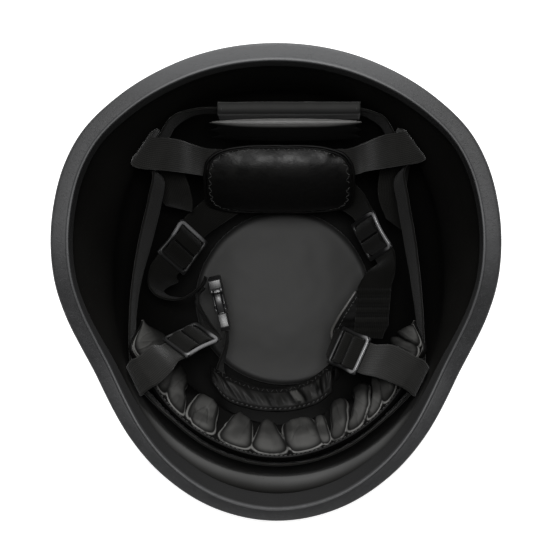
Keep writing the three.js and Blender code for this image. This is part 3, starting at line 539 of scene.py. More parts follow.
def beltRadius(azimuth):
    across, along = abs(math.sin(math.radians(azimuth))), math.cos(math.radians(azimuth))
    reach = shell["beltToNape"] if along > 0 else shell["beltToBrow"]
    n = blend(shell["browFullness"], shell["napeFullness"], smooth(-0.4, 0.4, along))
    return ((across / shell["beltHalfWidth"]) ** n + (abs(along) / reach) ** n) ** (-1 / n)


def outerSkin(azimuth, level):
    belt, turn = beltRadius(azimuth), math.radians(azimuth)
    direction = Vector((math.sin(turn), math.cos(turn), 0))
    if level <= 1:
        power = 2 / shell["fullness"]
        dip = lambda angle: 1 - max(math.cos(math.radians(angle)), 0) ** power
        share = math.sin(math.radians(90 * level)) ** power
        flat = dip(shell["crownFlat"])
        spot = direction * belt * share
        spot.y += shell["crownY"] * (1 - share * share)
        spot.z = max(0, shell["beltHeight"] * (dip(90 * level) - flat) / (1 - flat))
        return spot
    u, upright = level - 1, rimValue(azimuth, 3)
    flare = (1 - upright) * u ** 1.7 + upright * math.sin(math.radians(90 * u)) ** 1.7
    spot = direction * (belt + (rimValue(azimuth, 1) - belt) * flare)
    spot.z = blend(shell["beltHeight"], rimValue(azimuth, 2), u)
    return spot


def skinNormal(azimuth, level):
    low, high = max(level - 0.01, 0.02), min(level + 0.01, 2)
    rise = outerSkin(azimuth, high) - outerSkin(azimuth, low)
    around = outerSkin(azimuth + 0.5, level) - outerSkin(azimuth - 0.5, level)
    return rise.cross(around).normalized()


def inWall(azimuth, level, depth):
    return outerSkin(azimuth, level) - skinNormal(azimuth, level) * depth


def wallFrame(azimuth, height):
    level = 1.2
    for _ in range(30):
        level = min(max(level + (height - inWall(azimuth, level, shell["wall"]).z) / 90, 0.05), 2)
    inward = -skinNormal(azimuth, level)
    around = Vector((0, 0, 1)).cross(inward).normalized()
    return inWall(azimuth, level, shell["wall"]), inward, around, inward.cross(around)


def makeShell():
    stations, domeLevels, flareLevels = 288, 30, 34
    levels = [shell["crownFlat"] / 90] + [0.08 + 0.92 * i / domeLevels for i in range(domeLevels + 1)]
    levels += [1 + i / flareLevels for i in range(1, flareLevels + 1)]
    rings, lay = [], []
    for depth, order in ((0, levels), (shell["wall"], levels[::-1])):
        for level in order:
            ring = []
            for i in range(stations):
                azimuth = 360 / stations * i
                visor = smooth(112, 150, fromNape(azimuth)) * (depth > 0)
                hollow = 3.0 * visor * smooth(0.86, 1.45, level) * (1 - smooth(1.5, 1.92, level))
                ring.append(inWall(azimuth, level, depth - hollow))
                # the lay carries the painted highlight band inside the visor, the painted shade under the trim
                # and the painted shade deep in the bowl
                shoulder = visor * math.exp(-((level - 1.17) / 0.22) ** 2)
                bowl = smooth(1.0, 0.62, level) * (depth > 0)
                lay.append((shoulder, visor * smooth(1.48, 1.66, level), bowl))
            rings.append(ring)
    makeLoft("shellFine", rings, paint, ["shell"], lay)


def makeTrim():
    trim = {"thickness": 1.1, "leg": 11, "crown": 1.5, "gap": 0.6, "bead": 0.55, "shoulder": 1.9,
            "beadHalf": 0.85}
    stations, rings = 360, []
    gap, leg, deep, beadHalf = trim["gap"], trim["leg"], shell["wall"], trim["beadHalf"]
    out, top = -trim["thickness"] - gap, gap + trim["crown"]
    far, full = deep - out, deep - 2 * out
    for i in range(stations):
        azimuth = 360 / stations * i
        perLevel = (outerSkin(azimuth, 2) - outerSkin(azimuth, 1.9)).length / 0.1
        beside = lambda down, depth: inWall(azimuth, 2 - down / perLevel, depth)
        up = (outerSkin(azimuth, 2) - outerSkin(azimuth, 1.96)).normalized()
        above = lambda depth, rise: beside(0, depth) + up * rise
        ring = [beside(leg, out), beside(leg - 0.6, out - 0.12), beside(leg - 4, out), beside(4, out),
                beside(1.2, out), above(out, 0)]
        for k in range(1, 6):  # the outer shoulder
            turn = math.radians(18 * k)
            ring.append(above(out + trim["shoulder"] * (1 - math.cos(turn)), top * math.sin(turn) - 0.12))
        for k in range(1, 9):  # a barely crowned top
            across = out + trim["shoulder"] + (full - 3.4) * (k / 9)
            ring.append(above(across, top - 0.12 + 0.16 * math.sin(math.pi * (k / 9))))
        for k in range(6):  # the inner bead
            turn = math.radians(30 * k)
            across = far - beadHalf - beadHalf * math.cos(turn) * 0.9
            ring.append(above(across, top - 0.25 + trim["bead"] * math.sin(turn)))
        ring += [above(far, top - 0.9), above(far, 0), beside(1.2, far), beside(4, far), beside(leg - 4, far),
                 beside(leg - 0.6, far + 0.12), beside(leg, far), beside(leg, deep + gap),
                 beside(4, deep + gap), above(deep + gap, gap), above(-gap, gap), beside(4, -gap),
                 beside(leg, -gap)]
        rings.append(ring)
    # lay: the inner bead (painted highlight), the inner leg and the outer leg (both painted shade)
    lay = [(float(20 <= j < 24), float(j > 25), float(j < 7)) for ring in rings for j in range(len(ring))]
    makeLoft("trimFine", rings, rubber, ["edge_trim"], lay, isLoop=True)


makeShell()
makeTrim()
print("shell and trim made")

# straps: a row holds a point on either edge, and the curve runs smoothly through them

web = {"width": 20, "thickness": 1.3, "firstLayer": 2.1, "layerStep": 1.9, "steps": 8, "wave": 0.12}
boltPlaces = {  # azimuth, height, straps under the flange
    "rear_right": (44, 108, 3), "rear_left": (-44, 108, 3),
    "front_right": (124.5, 96, 2), "front_left": (-124.5, 96, 2)}


def V(*p):
    return Vector(p)


def rowAt(centre, across, width=web["width"]):
    half = across.normalized() * width / 2
    return centre + half, centre - half


def rowsOf(*pairs):
    return [(Vector(a), Vector(b)) for a, b in pairs]


def swapped(rows):
    return [(b, a) for a, b in rows]


def mirrored(rows):
    return [(V(-a.x, a.y, a.z), V(-b.x, b.y, b.z)) for a, b in rows]


def underBolt(name, layer, aside=0, above=0):
    azimuth, height, _ = boltPlaces[name]
    spot, inward, around, up = wallFrame(azimuth, height)
    return spot + inward * (web["firstLayer"] + (layer - 1) * web["layerStep"]) + around * aside + up * above


def endOnWall(name, layer, low, high):
    around = wallFrame(*boltPlaces[name][:2])[2]
    return [rowAt(underBolt(name, layer, 0, up), around) for up in (low, (low + high) / 2, high)]


def makeStrap(name, rows, finish=shadedWebbing, stands=(), isLoop=False, shadedFrom=None):
    lefts, rights = [r[0] for r in rows], [r[1] for r in rows]
    count = (len(rows) if isLoop else len(rows) - 1) * web["steps"]
    edges = [(splinePoint(lefts, i / count, isLoop), splinePoint(rights, i / count, isLoop))
             for i in range(count if isLoop else count + 1)]
    profile = [(0, 0.12), (0.012, 0.62), (0.03, 0.95), (0.065, 1), (0.1, 0.86)]
    profile += [(0.1 + 0.8 * k / 10, 0.9) for k in range(1, 10)]
    profile += [(0.9, 0.86), (0.935, 1), (0.97, 0.95), (0.988, 0.62), (1, 0.12)]
    section = profile + [(s, -h) for s, h in reversed(profile)]
    points, lay, walked, last = [], [], 0, None
    for i, (a, b) in enumerate(edges):
        before = edges[i - 1] if i or isLoop else edges[i]
        after = edges[(i + 1) % len(edges)] if i + 1 < len(edges) or isLoop else edges[i]
        along = after[0] + after[1] - before[0] - before[1]
        lift = along.cross(b - a).normalized() * web["thickness"] / 2
        middle = (a + b) / 2
        walked += (middle - last).length if last else 0
        last = middle
        reach = (b - a).length
        for s, h in section:
            spot = a.lerp(b, s) + lift * h
            spot += lift.normalized() * web["wave"] * noise.noise(V(s * 1.7, walked / 9, len(rows)))
            points.append(spot)
            lay.append((s * reach, walked, h))
    faces = loftFaces(len(edges), len(section), isLoop)
    made = makePiece(name, points, faces, finish, stands, lay)
    if shadedFrom is not None:  # the row from which the strap takes the darker copy of the webbing: painted shade
        made.data.materials.append(shadedWebbing.material)
        for i, face in enumerate(made.data.polygons):
            face.material_index = int(i >= shadedFrom * web["steps"] * len(section))


def makeStitches(name, spots, normals, length, gap, thick, zigzag=0.0, finish=thread):
    rings, sides, sink = 5, 6, 0.1
    points, faces, lay = [], [], []
    distance = [0.0]
    for a, b in zip(spots, spots[1:]):
        distance.append(distance[-1] + (b - a).length)

    def along(d):
        i = 0
        while i < len(distance) - 2 and distance[i + 1] < d:
            i += 1
        t = min(max((d - distance[i]) / max(distance[i + 1] - distance[i], 1e-6), 0), 1)
        return spots[i].lerp(spots[i + 1], t), normals[i].lerp(normals[i + 1], t).normalized()

    walked, flip = gap / 2, 1
    while walked + length < distance[-1]:
        start = len(points)
        (a, n), (b, _) = along(walked), along(walked + length)
        ahead = (b - a).normalized()
        aside = ahead.cross(n).normalized()
        slant = aside * zigzag * flip
        for k in range(rings):
            t = k / (rings - 1)
            fat = thick * (0.55 + 0.45 * math.sin(math.pi * (0.15 + 0.7 * t)))
            middle = a.lerp(b, t) + slant * (t - 0.5) * 2 + n * (thick * 0.7 * math.sin(math.pi * t) - sink)
            for j in range(sides):
                turn = math.tau * j / sides
                points.append(middle + (aside * math.cos(turn) + n * math.sin(turn)) * fat)
                lay.append((turn, walked + length * t, 0))
        faces += [tuple(start + v for v in f) for f in loftFaces(rings, sides)]
        walked += length + gap
        flip = -flip
    facesOut(makePiece(name, points, faces, finish, (), lay))


def makeTube(name, spots, radius, finish, isLoop=False, lit=None):
    spots = [s for i, s in enumerate(spots) if i == 0 or (s - spots[i - 1]).length > 0.02]
    sides, rings, side = 10, [], None
    turns = [math.tau * j / sides for j in range(sides)]
    for i, spot in enumerate(spots):
        if isLoop:
            ahead = spots[(i + 1) % len(spots)] - spots[i - 1]
        else:
            ahead = spots[min(i + 1, len(spots) - 1)] - spots[max(i - 1, 0)]
        side = ahead.orthogonal() if side is None else side
        side = (side - ahead * side.dot(ahead) / ahead.length_squared).normalized()
        other = ahead.cross(side).normalized()
        rings.append([spot + (side * math.cos(turn) + other * math.sin(turn)) * radius for turn in turns])
    lay = [(lit[i] if lit else 0.8, i, 0) for i in range(len(rings)) for _ in turns]
    makeLoft(name, rings, finish, (), lay, isLoop)


slide = {"length": 26.4, "width": 25, "thickness": 1.9, "edge": 0.5, "bar": 1.8, "innerGap": 3.2,
         "webLift": 1.85, "waist": 1.3, "corner": 2.6, "rail": 1.2, "shadowBarRadius": 0.75}
slidePlaces = {  # centre, along the strap, across it, the side of the rail that is painted lit (painted highlight)
    "rear_left": ((-60.5, 22.5, 66), (-0.54, -0.78, 0.18), (-0.55, 0.5, 0.5), (-1, 0.5)),
    "rear_right": ((58, 29.5, 66), (0.46, -0.89, 0.05), (-0.48, -0.29, -0.75), (0, -1)),
    "front_left": ((-53.8, -35.8, 82), (0.75, 0.4, -0.5), (0.6, -0.55, 0.75), (0.3, 1)),
    "front_right": ((43.5, -42.4, 76), (-0.62, 0.28, -0.72), (0.41, 0.91, 0), (-1, 0))}


def slideFrame(name):
    centre, along, across = (Vector(v) for v in slidePlaces[name][:3])
    u = along.normalized()
    w = (across - u * across.dot(u)).normalized()
    n = u.cross(w)
    return centre, u, w, (-n if n.z < 0 else n)


def weave(name):
    centre, u, w, n = slideFrame(name)
    lift = slide["webLift"]
    half = [(1.1, lift - 0.5), (2.6, lift + 0.5), (6.2, lift + 0.5), (8.6, 0.5), (10.4, -lift + 0.3),
            (13, -lift - 0.1), (16.5, -lift)]
    steps = [(-s, h) for s, h in half[::-1]] + [(0, -1.2)] + half
    return [rowAt(centre + u * s + n * h, w) for s, h in steps]


def makeSlide(name):
    centre, u, w, n = slideFrame(name)
    half, wide, gap = slide["length"] / 2, slide["width"] / 2, slide["innerGap"] / 2
    slotA, slotB = gap + slide["bar"], half - slide["bar"]
    stops = [-half, -slotB, -slotA, -gap, gap, slotA, slotB, half]
    us = [blend(a, b, k / 4) for a, b in zip(stops, stops[1:]) for k in range(4)] + [half]
    edge = web["width"] / 2 + 0.5
    ws = [-1, -edge, edge, 1]
    index, points, faces = {}, [], []
    for i, s in enumerate(us):
        waist = wide - slide["waist"] * math.cos(math.pi / 2 * min(abs(s) / (half * 0.75), 1)) ** 1.5
        waist -= 1.0 * max(0, (abs(s) - half + 1) / 1) ** 2
        bow = -0.55 * (s / half) ** 2 + 0.3
        for j, q in enumerate(ws):
            index[i, j] = len(points)
            points.append((s, q * waist if abs(q) == 1 else q, bow if j in (0, 3) else 0))
    for i in range(len(us) - 1):
        middle = (us[i] + us[i + 1]) / 2
        isOpen = slotA < abs(middle) < slotB or abs(middle) < gap
        for j in range(3):
            if j == 1 and isOpen:
                continue
            faces.append((index[i, j], index[i + 1, j], index[i + 1, j + 1], index[i, j + 1]))
    points = [centre + u * a + w * b + n * c for a, b, c in points]
    made = makePiece(f"slide_{name}_fine", points, faces, plastic, [f"slide_{name}"])
    facesOut(made)
    modify(made, "SOLIDIFY", thickness=slide["thickness"] / 1000, offset=0.0)
    roundEdges(made, slide["edge"], 40)
    corner, spots = slide["corner"], []
    for a, b, first in ((1, 1, 0), (-1, 1, 90), (-1, -1, 180), (1, -1, 270)):
        for k in range(7):
            turn = math.radians(first + 15 * k)
            spots.append((a * (half - 1.1 - corner) + corner * math.cos(turn),
                          b * (wide - 1.0 - corner) + corner * math.sin(turn)))
    # lit: the share of the painted highlight along the rail
    loop, lit, litSide = [], [], slidePlaces[name][3]
    for (a, b), (c, d) in zip(spots, spots[1:] + spots[:1]):
        for k in range(6):
            s, q = blend(a, c, k / 6), blend(b, d, k / 6)
            waist = 1 - 0.05 * math.cos(math.pi / 2 * min(abs(s) / (half * 0.75), 1))
            loop.append(centre + u * s + w * q * waist + n * (0.75 - 0.55 * (s / half) ** 2))
            lit.append(smooth(0.4, 0.85, s / half * litSide[0] + q / wide * litSide[1]))
    makeTube(f"slide_{name}_rail", loop, slide["rail"], rail, isLoop=True, lit=lit)
    # painted shadow: a dark tube across the middle of the slide, over the dip of the web, stands for the shade
    # between the two humps of web
    bar = [centre + w * (-9.4 + 18.8 * k / 12) + n * (slide["webLift"] - 0.1) for k in range(13)]
    makeTube(f"slide_{name}_bar", bar, slide["shadowBarRadius"], strapSkin)


onWallAtNape = swapped(endOnWall("rear_right", 1, -8, 8))
napeRight = onWallAtNape + rowsOf(
    ((76, 88.6, 122.4), (88.2, 71.2, 122.4)), ((73.6, 87.2, 124.9), (84.6, 69, 124.9)),
    ((66, 86.4, 123), (71.6, 67, 122.8)), ((59.6, 85, 117), (61.6, 66.2, 114)),
    ((52.6, 83.4, 103.8), (53.4, 66.4, 97.8)), ((43.6, 81, 95.4), (47.2, 65.6, 88.6)),
    ((34, 80.2, 98.5), (40, 66, 90.3)))
napeLeft = onWallAtNape + rowsOf(
    ((75.6, 86.4, 122.4), (87, 68.4, 122.4)), ((73, 84.4, 124.9), (82.4, 65.8, 124.9)),
    ((66, 84.2, 123.2), (69.4, 64.8, 123)), ((58.6, 83.8, 116.4), (59.8, 64.6, 113.4)),
    ((51.6, 82.6, 103.8), (52, 65, 97.8)), ((42.6, 81, 95.4), (46.2, 65.2, 88.6)),
    ((33, 80.2, 98.5), (39, 65.8, 90.3)))


def hangerRows(rows):
    return swapped(endOnWall("rear_right", 2, 4.4, -13)) + rowsOf(*rows)


hangerRight = hangerRows([((62.4, 68, 84), (79, 58.6, 80)), ((61.8, 52.4, 77.4), (77.6, 47.6, 70.6)),
                          ((66.8, 39.8, 71), (76.4, 33.6, 62.6))])
hangerLeft = mirrored(hangerRows([((57.6, 66, 86), (74.6, 57.4, 80)), ((53.6, 52, 81), (71.6, 49, 73)),
                                  ((53.6, 44, 77.6), (68, 48, 65.4))]))


gathers = {"from": (59.6, -3, 67), "to": (57.6, -27, 66.5), "count": 4, "depth": 1.3, "width": 21}


def rightRearRows():
    rows = [rowAt(V(36.5, 60.5, 57), V(-0.85, -0.5, 0)), rowAt(V(44.6, 52.4, 61.6), V(-0.8, -0.4, -0.35))]
    rows += weave("rear_right") + [rowAt(V(63.6, 7.0, 68.4), V(-0.9, -0.05, -0.5))]
    steps = gathers["count"] * 2
    for i in range(steps + 1):
        spot = Vector(gathers["from"]).lerp(Vector(gathers["to"]), i / steps)
        spot.z += gathers["depth"] if i % 2 else -gathers["depth"]
        rows.append(rowAt(spot, V(-1, 0, -0.05), gathers["width"]))
    return rows + rowsOf(
        ((46.6, -30.2, 64.0), (66.0, -30.8, 64.0)), ((46.8, -33.4, 60.6), (65.0, -34.4, 60.6)))


def leftRearRows():
    start = [rowAt(V(-28, 55.5, 54.5), V(-0.6, 0.78, 0.15)), rowAt(V(-41, 45.5, 60.2), V(-0.6, 0.7, 0.35))]
    return start + weave("rear_left") + rowsOf(
        ((-79.6, 11.6, 72.0), (-63.4, 1.0, 60.0)), ((-81.8, 3.8, 71.0), (-69.0, -1.4, 55.0)),
        ((-80.6, -3.4, 70.0), (-73.6, -4.6, 51.4)), ((-76.0, -8.2, 68.6), (-71.4, -7.4, 49.6)),
        ((-68.0, -10.4, 66.8), (-65.4, -8.8, 47.4)), ((-60.0, -9.4, 65.4), (-59.0, -8.6, 45.8)),
        ((-52.6, -4.8, 64.4), (-52.2, -4.4, 44.6)), ((-48.2, 0.0, 64.0), (-48.2, 0.2, 44.2)),
        ((-46.4, 4.4, 64.0), (-46.6, 4.4, 44.2)))


def frontStart(side):
    end = endOnWall("front_right" if side > 0 else "front_left", 1, -9, 13.6)
    return (swapped(end) if side > 0 else end) + rowsOf(
        ((side * 87.4, -48.0, 113.6), (side * 76.0, -65.4, 113.6)),
        ((side * 83.6, -46.4, 114.4), (side * 72.4, -63.4, 114.4)))


def leftFrontRows():
    overRing = rowsOf(((-76.4, -39.6, 103.6), (-64.6, -55.6, 105.0)))
    return frontStart(-1) + overRing + swapped(weave("front_left")) + rowsOf(
        ((-50.6, -17.6, 57.0), (-42.4, -25.2, 73.4)), ((-53.4, -11.0, 47.8), (-49.6, -13.4, 67.0)),
        ((-51.4, -6.6, 44.2), (-50.4, -7.0, 64.2)), ((-47.6, -2.4, 44.0), (-47.6, -2.4, 64.0)))


def rightFrontRows():
    overRing = rowsOf(((70.4, -39.2, 101.6), (60.0, -58.6, 102.0)))
    return frontStart(1) + overRing + weave("front_right") + rowsOf(
        ((35.6, -28.4, 60.4), (29.4, -45.8, 60.4)))


ring = {"height": 20, "middle": 102.5, "rise": 0.07, "middleToBolts": 60}
ringPath = {  # x, y, lean of the top edge
    "behindBolt": [(0, 102.2, 0.5), (28, 102.2, 0.5), (50, 101.6, 0.6), (63, 95.6, 3)],
    "right": [(73.6, 63.5, 7), (75.6, 48.4, 6.4), (79.7, 24.3, 5.9), (83.3, 0.2, 4.4), (86.2, -28, 2.5)],
    "left": [(72.4, 63.5, 7), (74.3, 48.5, 7), (80, 24.4, 5.9), (85.4, 0.2, 3.1), (88, -24, 1.6)],
    "roundBrow": [(63.2, -84.2, 0.5), (43.6, -99.4, 0), (22, -108.4, 0), (0, -111.3, 0)]}


def ringRows():
    def hanging(x, y, lean):
        out = V(x, y, 0).normalized() * lean
        middle = V(x, y, ring["middle"] + ring["rise"] * y)
        return rowAt(middle, V(out.x, out.y, ring["height"]), ring["height"])

    def nearBolt(name):
        azimuth, height, layers = boltPlaces[name]
        _, _, around, up = wallFrame(azimuth, height)
        slope = ring["rise"] * ring["middleToBolts"] * (-1 if azimuth > 90 else 1)
        lift = ring["middle"] + ring["rise"] * around.x - height + slope
        rows = [rowAt(underBolt(name, layers, aside, lift), up, ring["height"]) for aside in (-8, 0, 8)]
        return rows if rows[0][0].y > rows[2][0].y else rows[::-1]

    def half(side):
        rows = [hanging(*p) for p in ringPath["behindBolt"]] + nearBolt("rear_right")
        rows += [hanging(*p) for p in ringPath[side]] + nearBolt("front_right")
        return rows + [hanging(*p) for p in ringPath["roundBrow"]]

    return half("right") + mirrored(half("left")[1:-1][::-1])


def makeBolt(name):
    bolt = {"shank": 2.6, "head": 8.5, "rise": 2.6, "flange": 6.5, "flangeThickness": 1.2, "sides": 48}
    head, rise, flange = bolt["head"], bolt["rise"], bolt["flange"]
    azimuth, height, layers = boltPlaces[name]
    spot, inward, around, up = wallFrame(azimuth, height)
    outside = -shell["wall"] - 0.9
    clamp = web["firstLayer"] + (layers - 1) * web["layerStep"] + web["thickness"] / 2 + 0.4
    face = clamp + bolt["flangeThickness"]
    profile = [(0.001, outside - rise)]
    for turn in (math.radians(a) for a in range(10, 91, 10)):
        profile.append((head * math.sin(turn), outside - 0.5 - (rise - 0.5) * math.cos(turn)))
    profile += [(head, outside - 0.3), (head - 0.3, outside), (bolt["shank"], outside),
                (bolt["shank"], clamp), (flange - 0.2, clamp), (flange, clamp + 0.2), (flange, clamp + 0.8),
                (flange - 0.4, face), (4.2, face), (4.0, clamp + 1.9), (3.1, clamp + 2.3), (2.9, clamp + 1.7),
                (0.001, clamp + 1.6)]
    turns = [math.tau * i / bolt["sides"] for i in range(bolt["sides"])]
    rings = [[spot + inward * h + (around * math.cos(turn) + up * math.sin(turn)) * r for turn in turns]
             for r, h in profile]
    makeLoft(f"bolt_{name}_fine", rings, steel, [f"bolt_{name}"])


chinStrapRows = rowsOf(
    ((-33.4, -30.4, 61.0), (-33.2, -30.0, 42.0)), ((-33.4, -36.4, 60.4), (-33.0, -36.4, 42.0)),
    ((-35.2, -43.4, 60.0), (-34.2, -43.4, 42.0)), ((-38.0, -50.4, 59.4), (-36.2, -51.0, 42.6)),
    ((-39.4, -56.6, 57.6), (-34.0, -59.4, 46.4)), ((-38.8, -61.4, 56.0), (-25.8, -67.6, 52.0)),
    ((-37.6, -65.6, 57.8), (-20.4, -72.4, 57.4)))
for name in boltPlaces:
    makeBolt(name)
makeStrap("suspensionRing", ringRows(), shadedRingWeb, stands=["suspension_ring"], isLoop=True)
makeStrap("napeStrapRight", napeRight, webbing, stands=["nape_strap_right"])
makeStrap("napeStrapLeft", mirrored(napeLeft), webbing, stands=["nape_strap_left"])
makeStrap("hangerRight", hangerRight, shadedRingWeb, stands=["hanger_right"])
makeStrap("hangerLeft", hangerLeft, shadedRingWeb, stands=["hanger_left"])
makeStrap("rearStrapRight", rightRearRows(), stands=["rear_strap_right"])
makeStrap("rearStrapLeft", leftRearRows(), stands=["rear_strap_left"])
makeStrap("frontStrapRight", rightFrontRows(), shadedFrontWeb, stands=["front_strap_right"], shadedFrom=8)
makeStrap("frontStrapLeft", leftFrontRows(), shadedFrontWeb, stands=["front_strap_left"], shadedFrom=8)
makeStrap("chinStrapLeft", chinStrapRows, stands=["chin_strap_left"])
for name in slidePlaces:
    makeSlide(name)
print("bolts, straps and slides made")

# padded pieces swell under cloth pressure, then what is sewn on them is set on the swollen surface

def puffUp(piece, pad, held):
    frames, stiffness = 16, 8
    modify(piece, "REMESH", mode="VOXEL", voxel_size=pad["voxel"] / 1000)
    applyAll(piece)
    start = [v.co.copy() for v in piece.data.vertices]
    cloth = modify(piece, "CLOTH")
    cloth.settings.use_pressure = True
    cloth.settings.uniform_pressure_force = pad["pressure"]
    cloth.settings.effector_weights.gravity = 0
    cloth.settings.tension_stiffness = cloth.settings.compression_stiffness = stiffness
    cloth.settings.bending_stiffness = 0.2
    cloth.settings.mass = 0.25
    cloth.point_cache.frame_start, cloth.point_cache.frame_end = 1, frames
    group = piece.vertex_groups.new(name="held")
    for v in piece.data.vertices:
        share = held(v.co)
        if share > 0:
            group.add([v.index], share, "REPLACE")
    cloth.settings.vertex_group_mass = "held"
    for step in range(1, frames + 1):
        bpy.context.scene.frame_set(step)
    applyAll(piece)
    for v, was in zip(piece.data.vertices, start):
        move = v.co - was
        if move.length > pad["mostSwell"] / 1000:
            v.co = was + move.normalized() * pad["mostSwell"] / 1000
    bpy.context.scene.frame_set(1)
    modify(piece, "SUBSURF", levels=1, render_levels=1)
    applyAll(piece)
    shadeSmooth(piece)


def ontoPiece(piece, spots, lift=0.0):
    mesh = piece.data
    tree = BVHTree.FromPolygons([v.co for v in mesh.vertices], [p.vertices for p in mesh.polygons])
    placed, normals = [], []
    for spot in spots:
        at, normal, _, _ = tree.find_nearest(mm(spot))
        placed.append(V(at.x, at.y, at.z) * 1000 - V(0, frameShift, 0) + normal * lift)
        normals.append(normal)
    return placed, normals


# the gathered band round the brow: angles run from the middle of the brow, positive to the right, and shares
# from its outer edge, 0, to its inner edge, 1

band = {"topHeight": 104, "drop": 41, "half": 3.2, "puff": 6.2, "foot": 0.03, "spread": 1.3}
bandTop = [(0, 107.6, 18), (24, 104.6, 18), (44, 100.8, 15), (56, 96.8, 12), (66, 91.4, 8), (75, 85.5, 6)]
puffs = [  # angle and half width at the outer end, the same at the inner end, the share at its end, height
    (-66.4, 8.4, -66.2, 8.0, 1.06, 0.95), (-55.6, 3.8, -58, 3.0, 0.95, 0.8), (-48, 4.6, -54, 3.2, 0.97, 0.9),
    (-38, 4.6, -49, 4.6, 0.97, 1.0), (-27.6, 5.3, -31, 5.2, 0.8, 1.15), (-15, 5.6, -14.6, 4.0, 0.85, 1.0),
    (-2.2, 6.2, -4.5, 2.2, 0.98, 0.9), (9.8, 5.8, 7.8, 6.4, 0.87, 1.15), (16.8, 1.6, 16.6, 2.3, 0.86, 0.7),
    (20.9, 2.5, 26.4, 4.1, 1.02, 1.0), (27.8, 3.5, 38.4, 4.0, 1.04, 1.05), (35.6, 3.4, 45, 2.2, 0.86, 0.85),
    (43.6, 3.9, 51, 3.3, 1.0, 0.9), (52.4, 4.2, 58, 3.2, 1.0, 0.9), (60.6, 3.4, 63.4, 2.3, 1.02, 1.0),
    (68, 3.5, 69, 3.0, 1.02, 1.1)]
creases = [  # angle and share, through a middle, to the end; height and width in degrees
    (-45, 1.0, -40, 0.62, -35.5, 0.5, 1.5, 0.7), (-36, 0.5, -33.5, 0.25, -31.5, 0.0, 1.0, 0.7),
    (-26, 0.86, -23, 0.5, -20.4, 0.42, 1.6, 0.7), (-20.4, 0.42, -18, 0.62, -15, 0.86, 1.3, 0.8),
    (-21, 0.42, -21.4, 0.2, -21, 0.02, 1.0, 0.7), (-9.4, 0.75, -8.6, 0.3, -9, 0.0, 0.9, 0.5),
    (-2, 1.0, 1.4, 0.5, 4.6, 0.03, 1.9, 0.6), (12, 0.86, 14.4, 0.55, 16, 0.04, 1.2, 0.6),
    (14.5, 0.5, 17, 0.75, 20.5, 0.95, 1.3, 0.6), (22.6, 1.0, 20, 0.6, 17.8, 0.02, 1.3, 0.5),
    (33, 1.0, 28.5, 0.6, 24, 0.02, 1.5, 0.5), (43, 0.9, 38, 0.55, 32, 0.05, 1.2, 0.6),
    (-32, 0.2, -29, 0.45, -26.5, 0.2, -0.9, 1.3), (5, 0.3, 9, 0.55, 12, 0.3, -0.7, 1.8)]


def bandFrame(angle):
    radius, lean = tableAt(bandTop, 1, abs(angle)), tableAt(bandTop, 2, abs(angle))
    turn = math.radians(angle)
    out = V(math.sin(turn), -math.cos(turn), 0)
    top = out * radius + V(0, 0, band["topHeight"])
    along = V(-out.x * lean, -out.y * lean, -band["drop"])
    length = along.length
    along.normalize()
    face = out.cross(along).cross(along).normalized()
    return top, along, (-face if face.dot(out) > 0 else face), length


def puffAt(angle, share):
    rise, near = 0.0, 2.0
    for foot, footHalf, top, topHalf, end, height in puffs:
        along = (share - band["foot"]) / (end - band["foot"])
        if not -0.2 < along < 1.2:
            continue
        inside = min(max(along, 0), 1)
        bend = inside + 0.12 * math.sin(math.pi * inside) + 0.16 * noise.noise(V(foot, share * 3.4, 1))
        wide = band["spread"] - 0.22 * inside
        aside = abs(angle - blend(foot, top, bend)) / (blend(footHalf, topHalf, inside) * wide)
        edge = aside ** 2.6 + abs(2 * along - 1) ** 6
        near = min(near, edge)
        if edge < 1:
            dome = 0.98 * (1 - edge) ** 0.55 + 0.14 * math.exp(-((edge - 0.86) / 0.08) ** 2)
            rise = max(rise, height * dome * (0.24 + 0.95 * inside))
    return rise, near


def creaseRise(angle, share):
    rise = 0.0
    for a0, s0, a1, s1, a2, s2, height, width in creases:
        low, high = min(s0, s1, s2), max(s0, s1, s2)
        if not low - 0.05 < share < high + 0.05:
            continue
        t = (share - s0) / (s2 - s0) if abs(s2 - s0) > 0.3 else (angle - a0) / (a2 - a0)
        t = min(max(t, 0), 1)
        at = (1 - t) ** 2 * a0 + 2 * t * (1 - t) * (2 * a1 - (a0 + a2) / 2) + t * t * a2
        level = (1 - t) ** 2 * s0 + 2 * t * (1 - t) * (2 * s1 - (s0 + s2) / 2) + t * t * s2
        away = math.hypot((angle - at) / width, (share - level) * 46 / width)
        if away < 3:
            rise += height * math.exp(-away * away) * smooth(0, 0.12, t + 0.06) * smooth(1, 0.88, t - 0.06)
    return rise


def bandRise(angle, share):
    inside = share - band["foot"]
    body = band["half"] * 0.35 + band["half"] * 0.5 * max(math.sin(math.pi * share), 0) ** 0.6
    mask = smooth(0, 0.1, inside) * (1 - smooth(0.88, 1, share))
    wave = noise.noise(V(angle * 0.21, share * 1.5, 3.1))
    wave += 0.45 * noise.noise(V(angle * 0.5, share * 3.2, 6.4))
    ridge = (1 - abs(noise.noise(V(angle * 0.33, share * 2.1, 8.4)))) ** 8
    puff, near = puffAt(angle, share)
    return body + band["puff"] * puff + mask * (0.5 * wave + 0.4 * ridge) + creaseRise(angle, share), near


def bandPoint(angle, share, rise):
    top, along, face, length = bandFrame(angle)
    tip = smooth(62.5, 74, abs(angle)) ** 1.5
    share = blend(share, 0.42, tip * 0.97)
    over = smooth(54, 66, abs(angle)) * (1 - share)
    out = V(top.x, top.y, 0).normalized()
    return top + along * share * length + face * rise * (1 - 0.8 * tip) + out * 6 * over + V(0, 0, 10 * over)


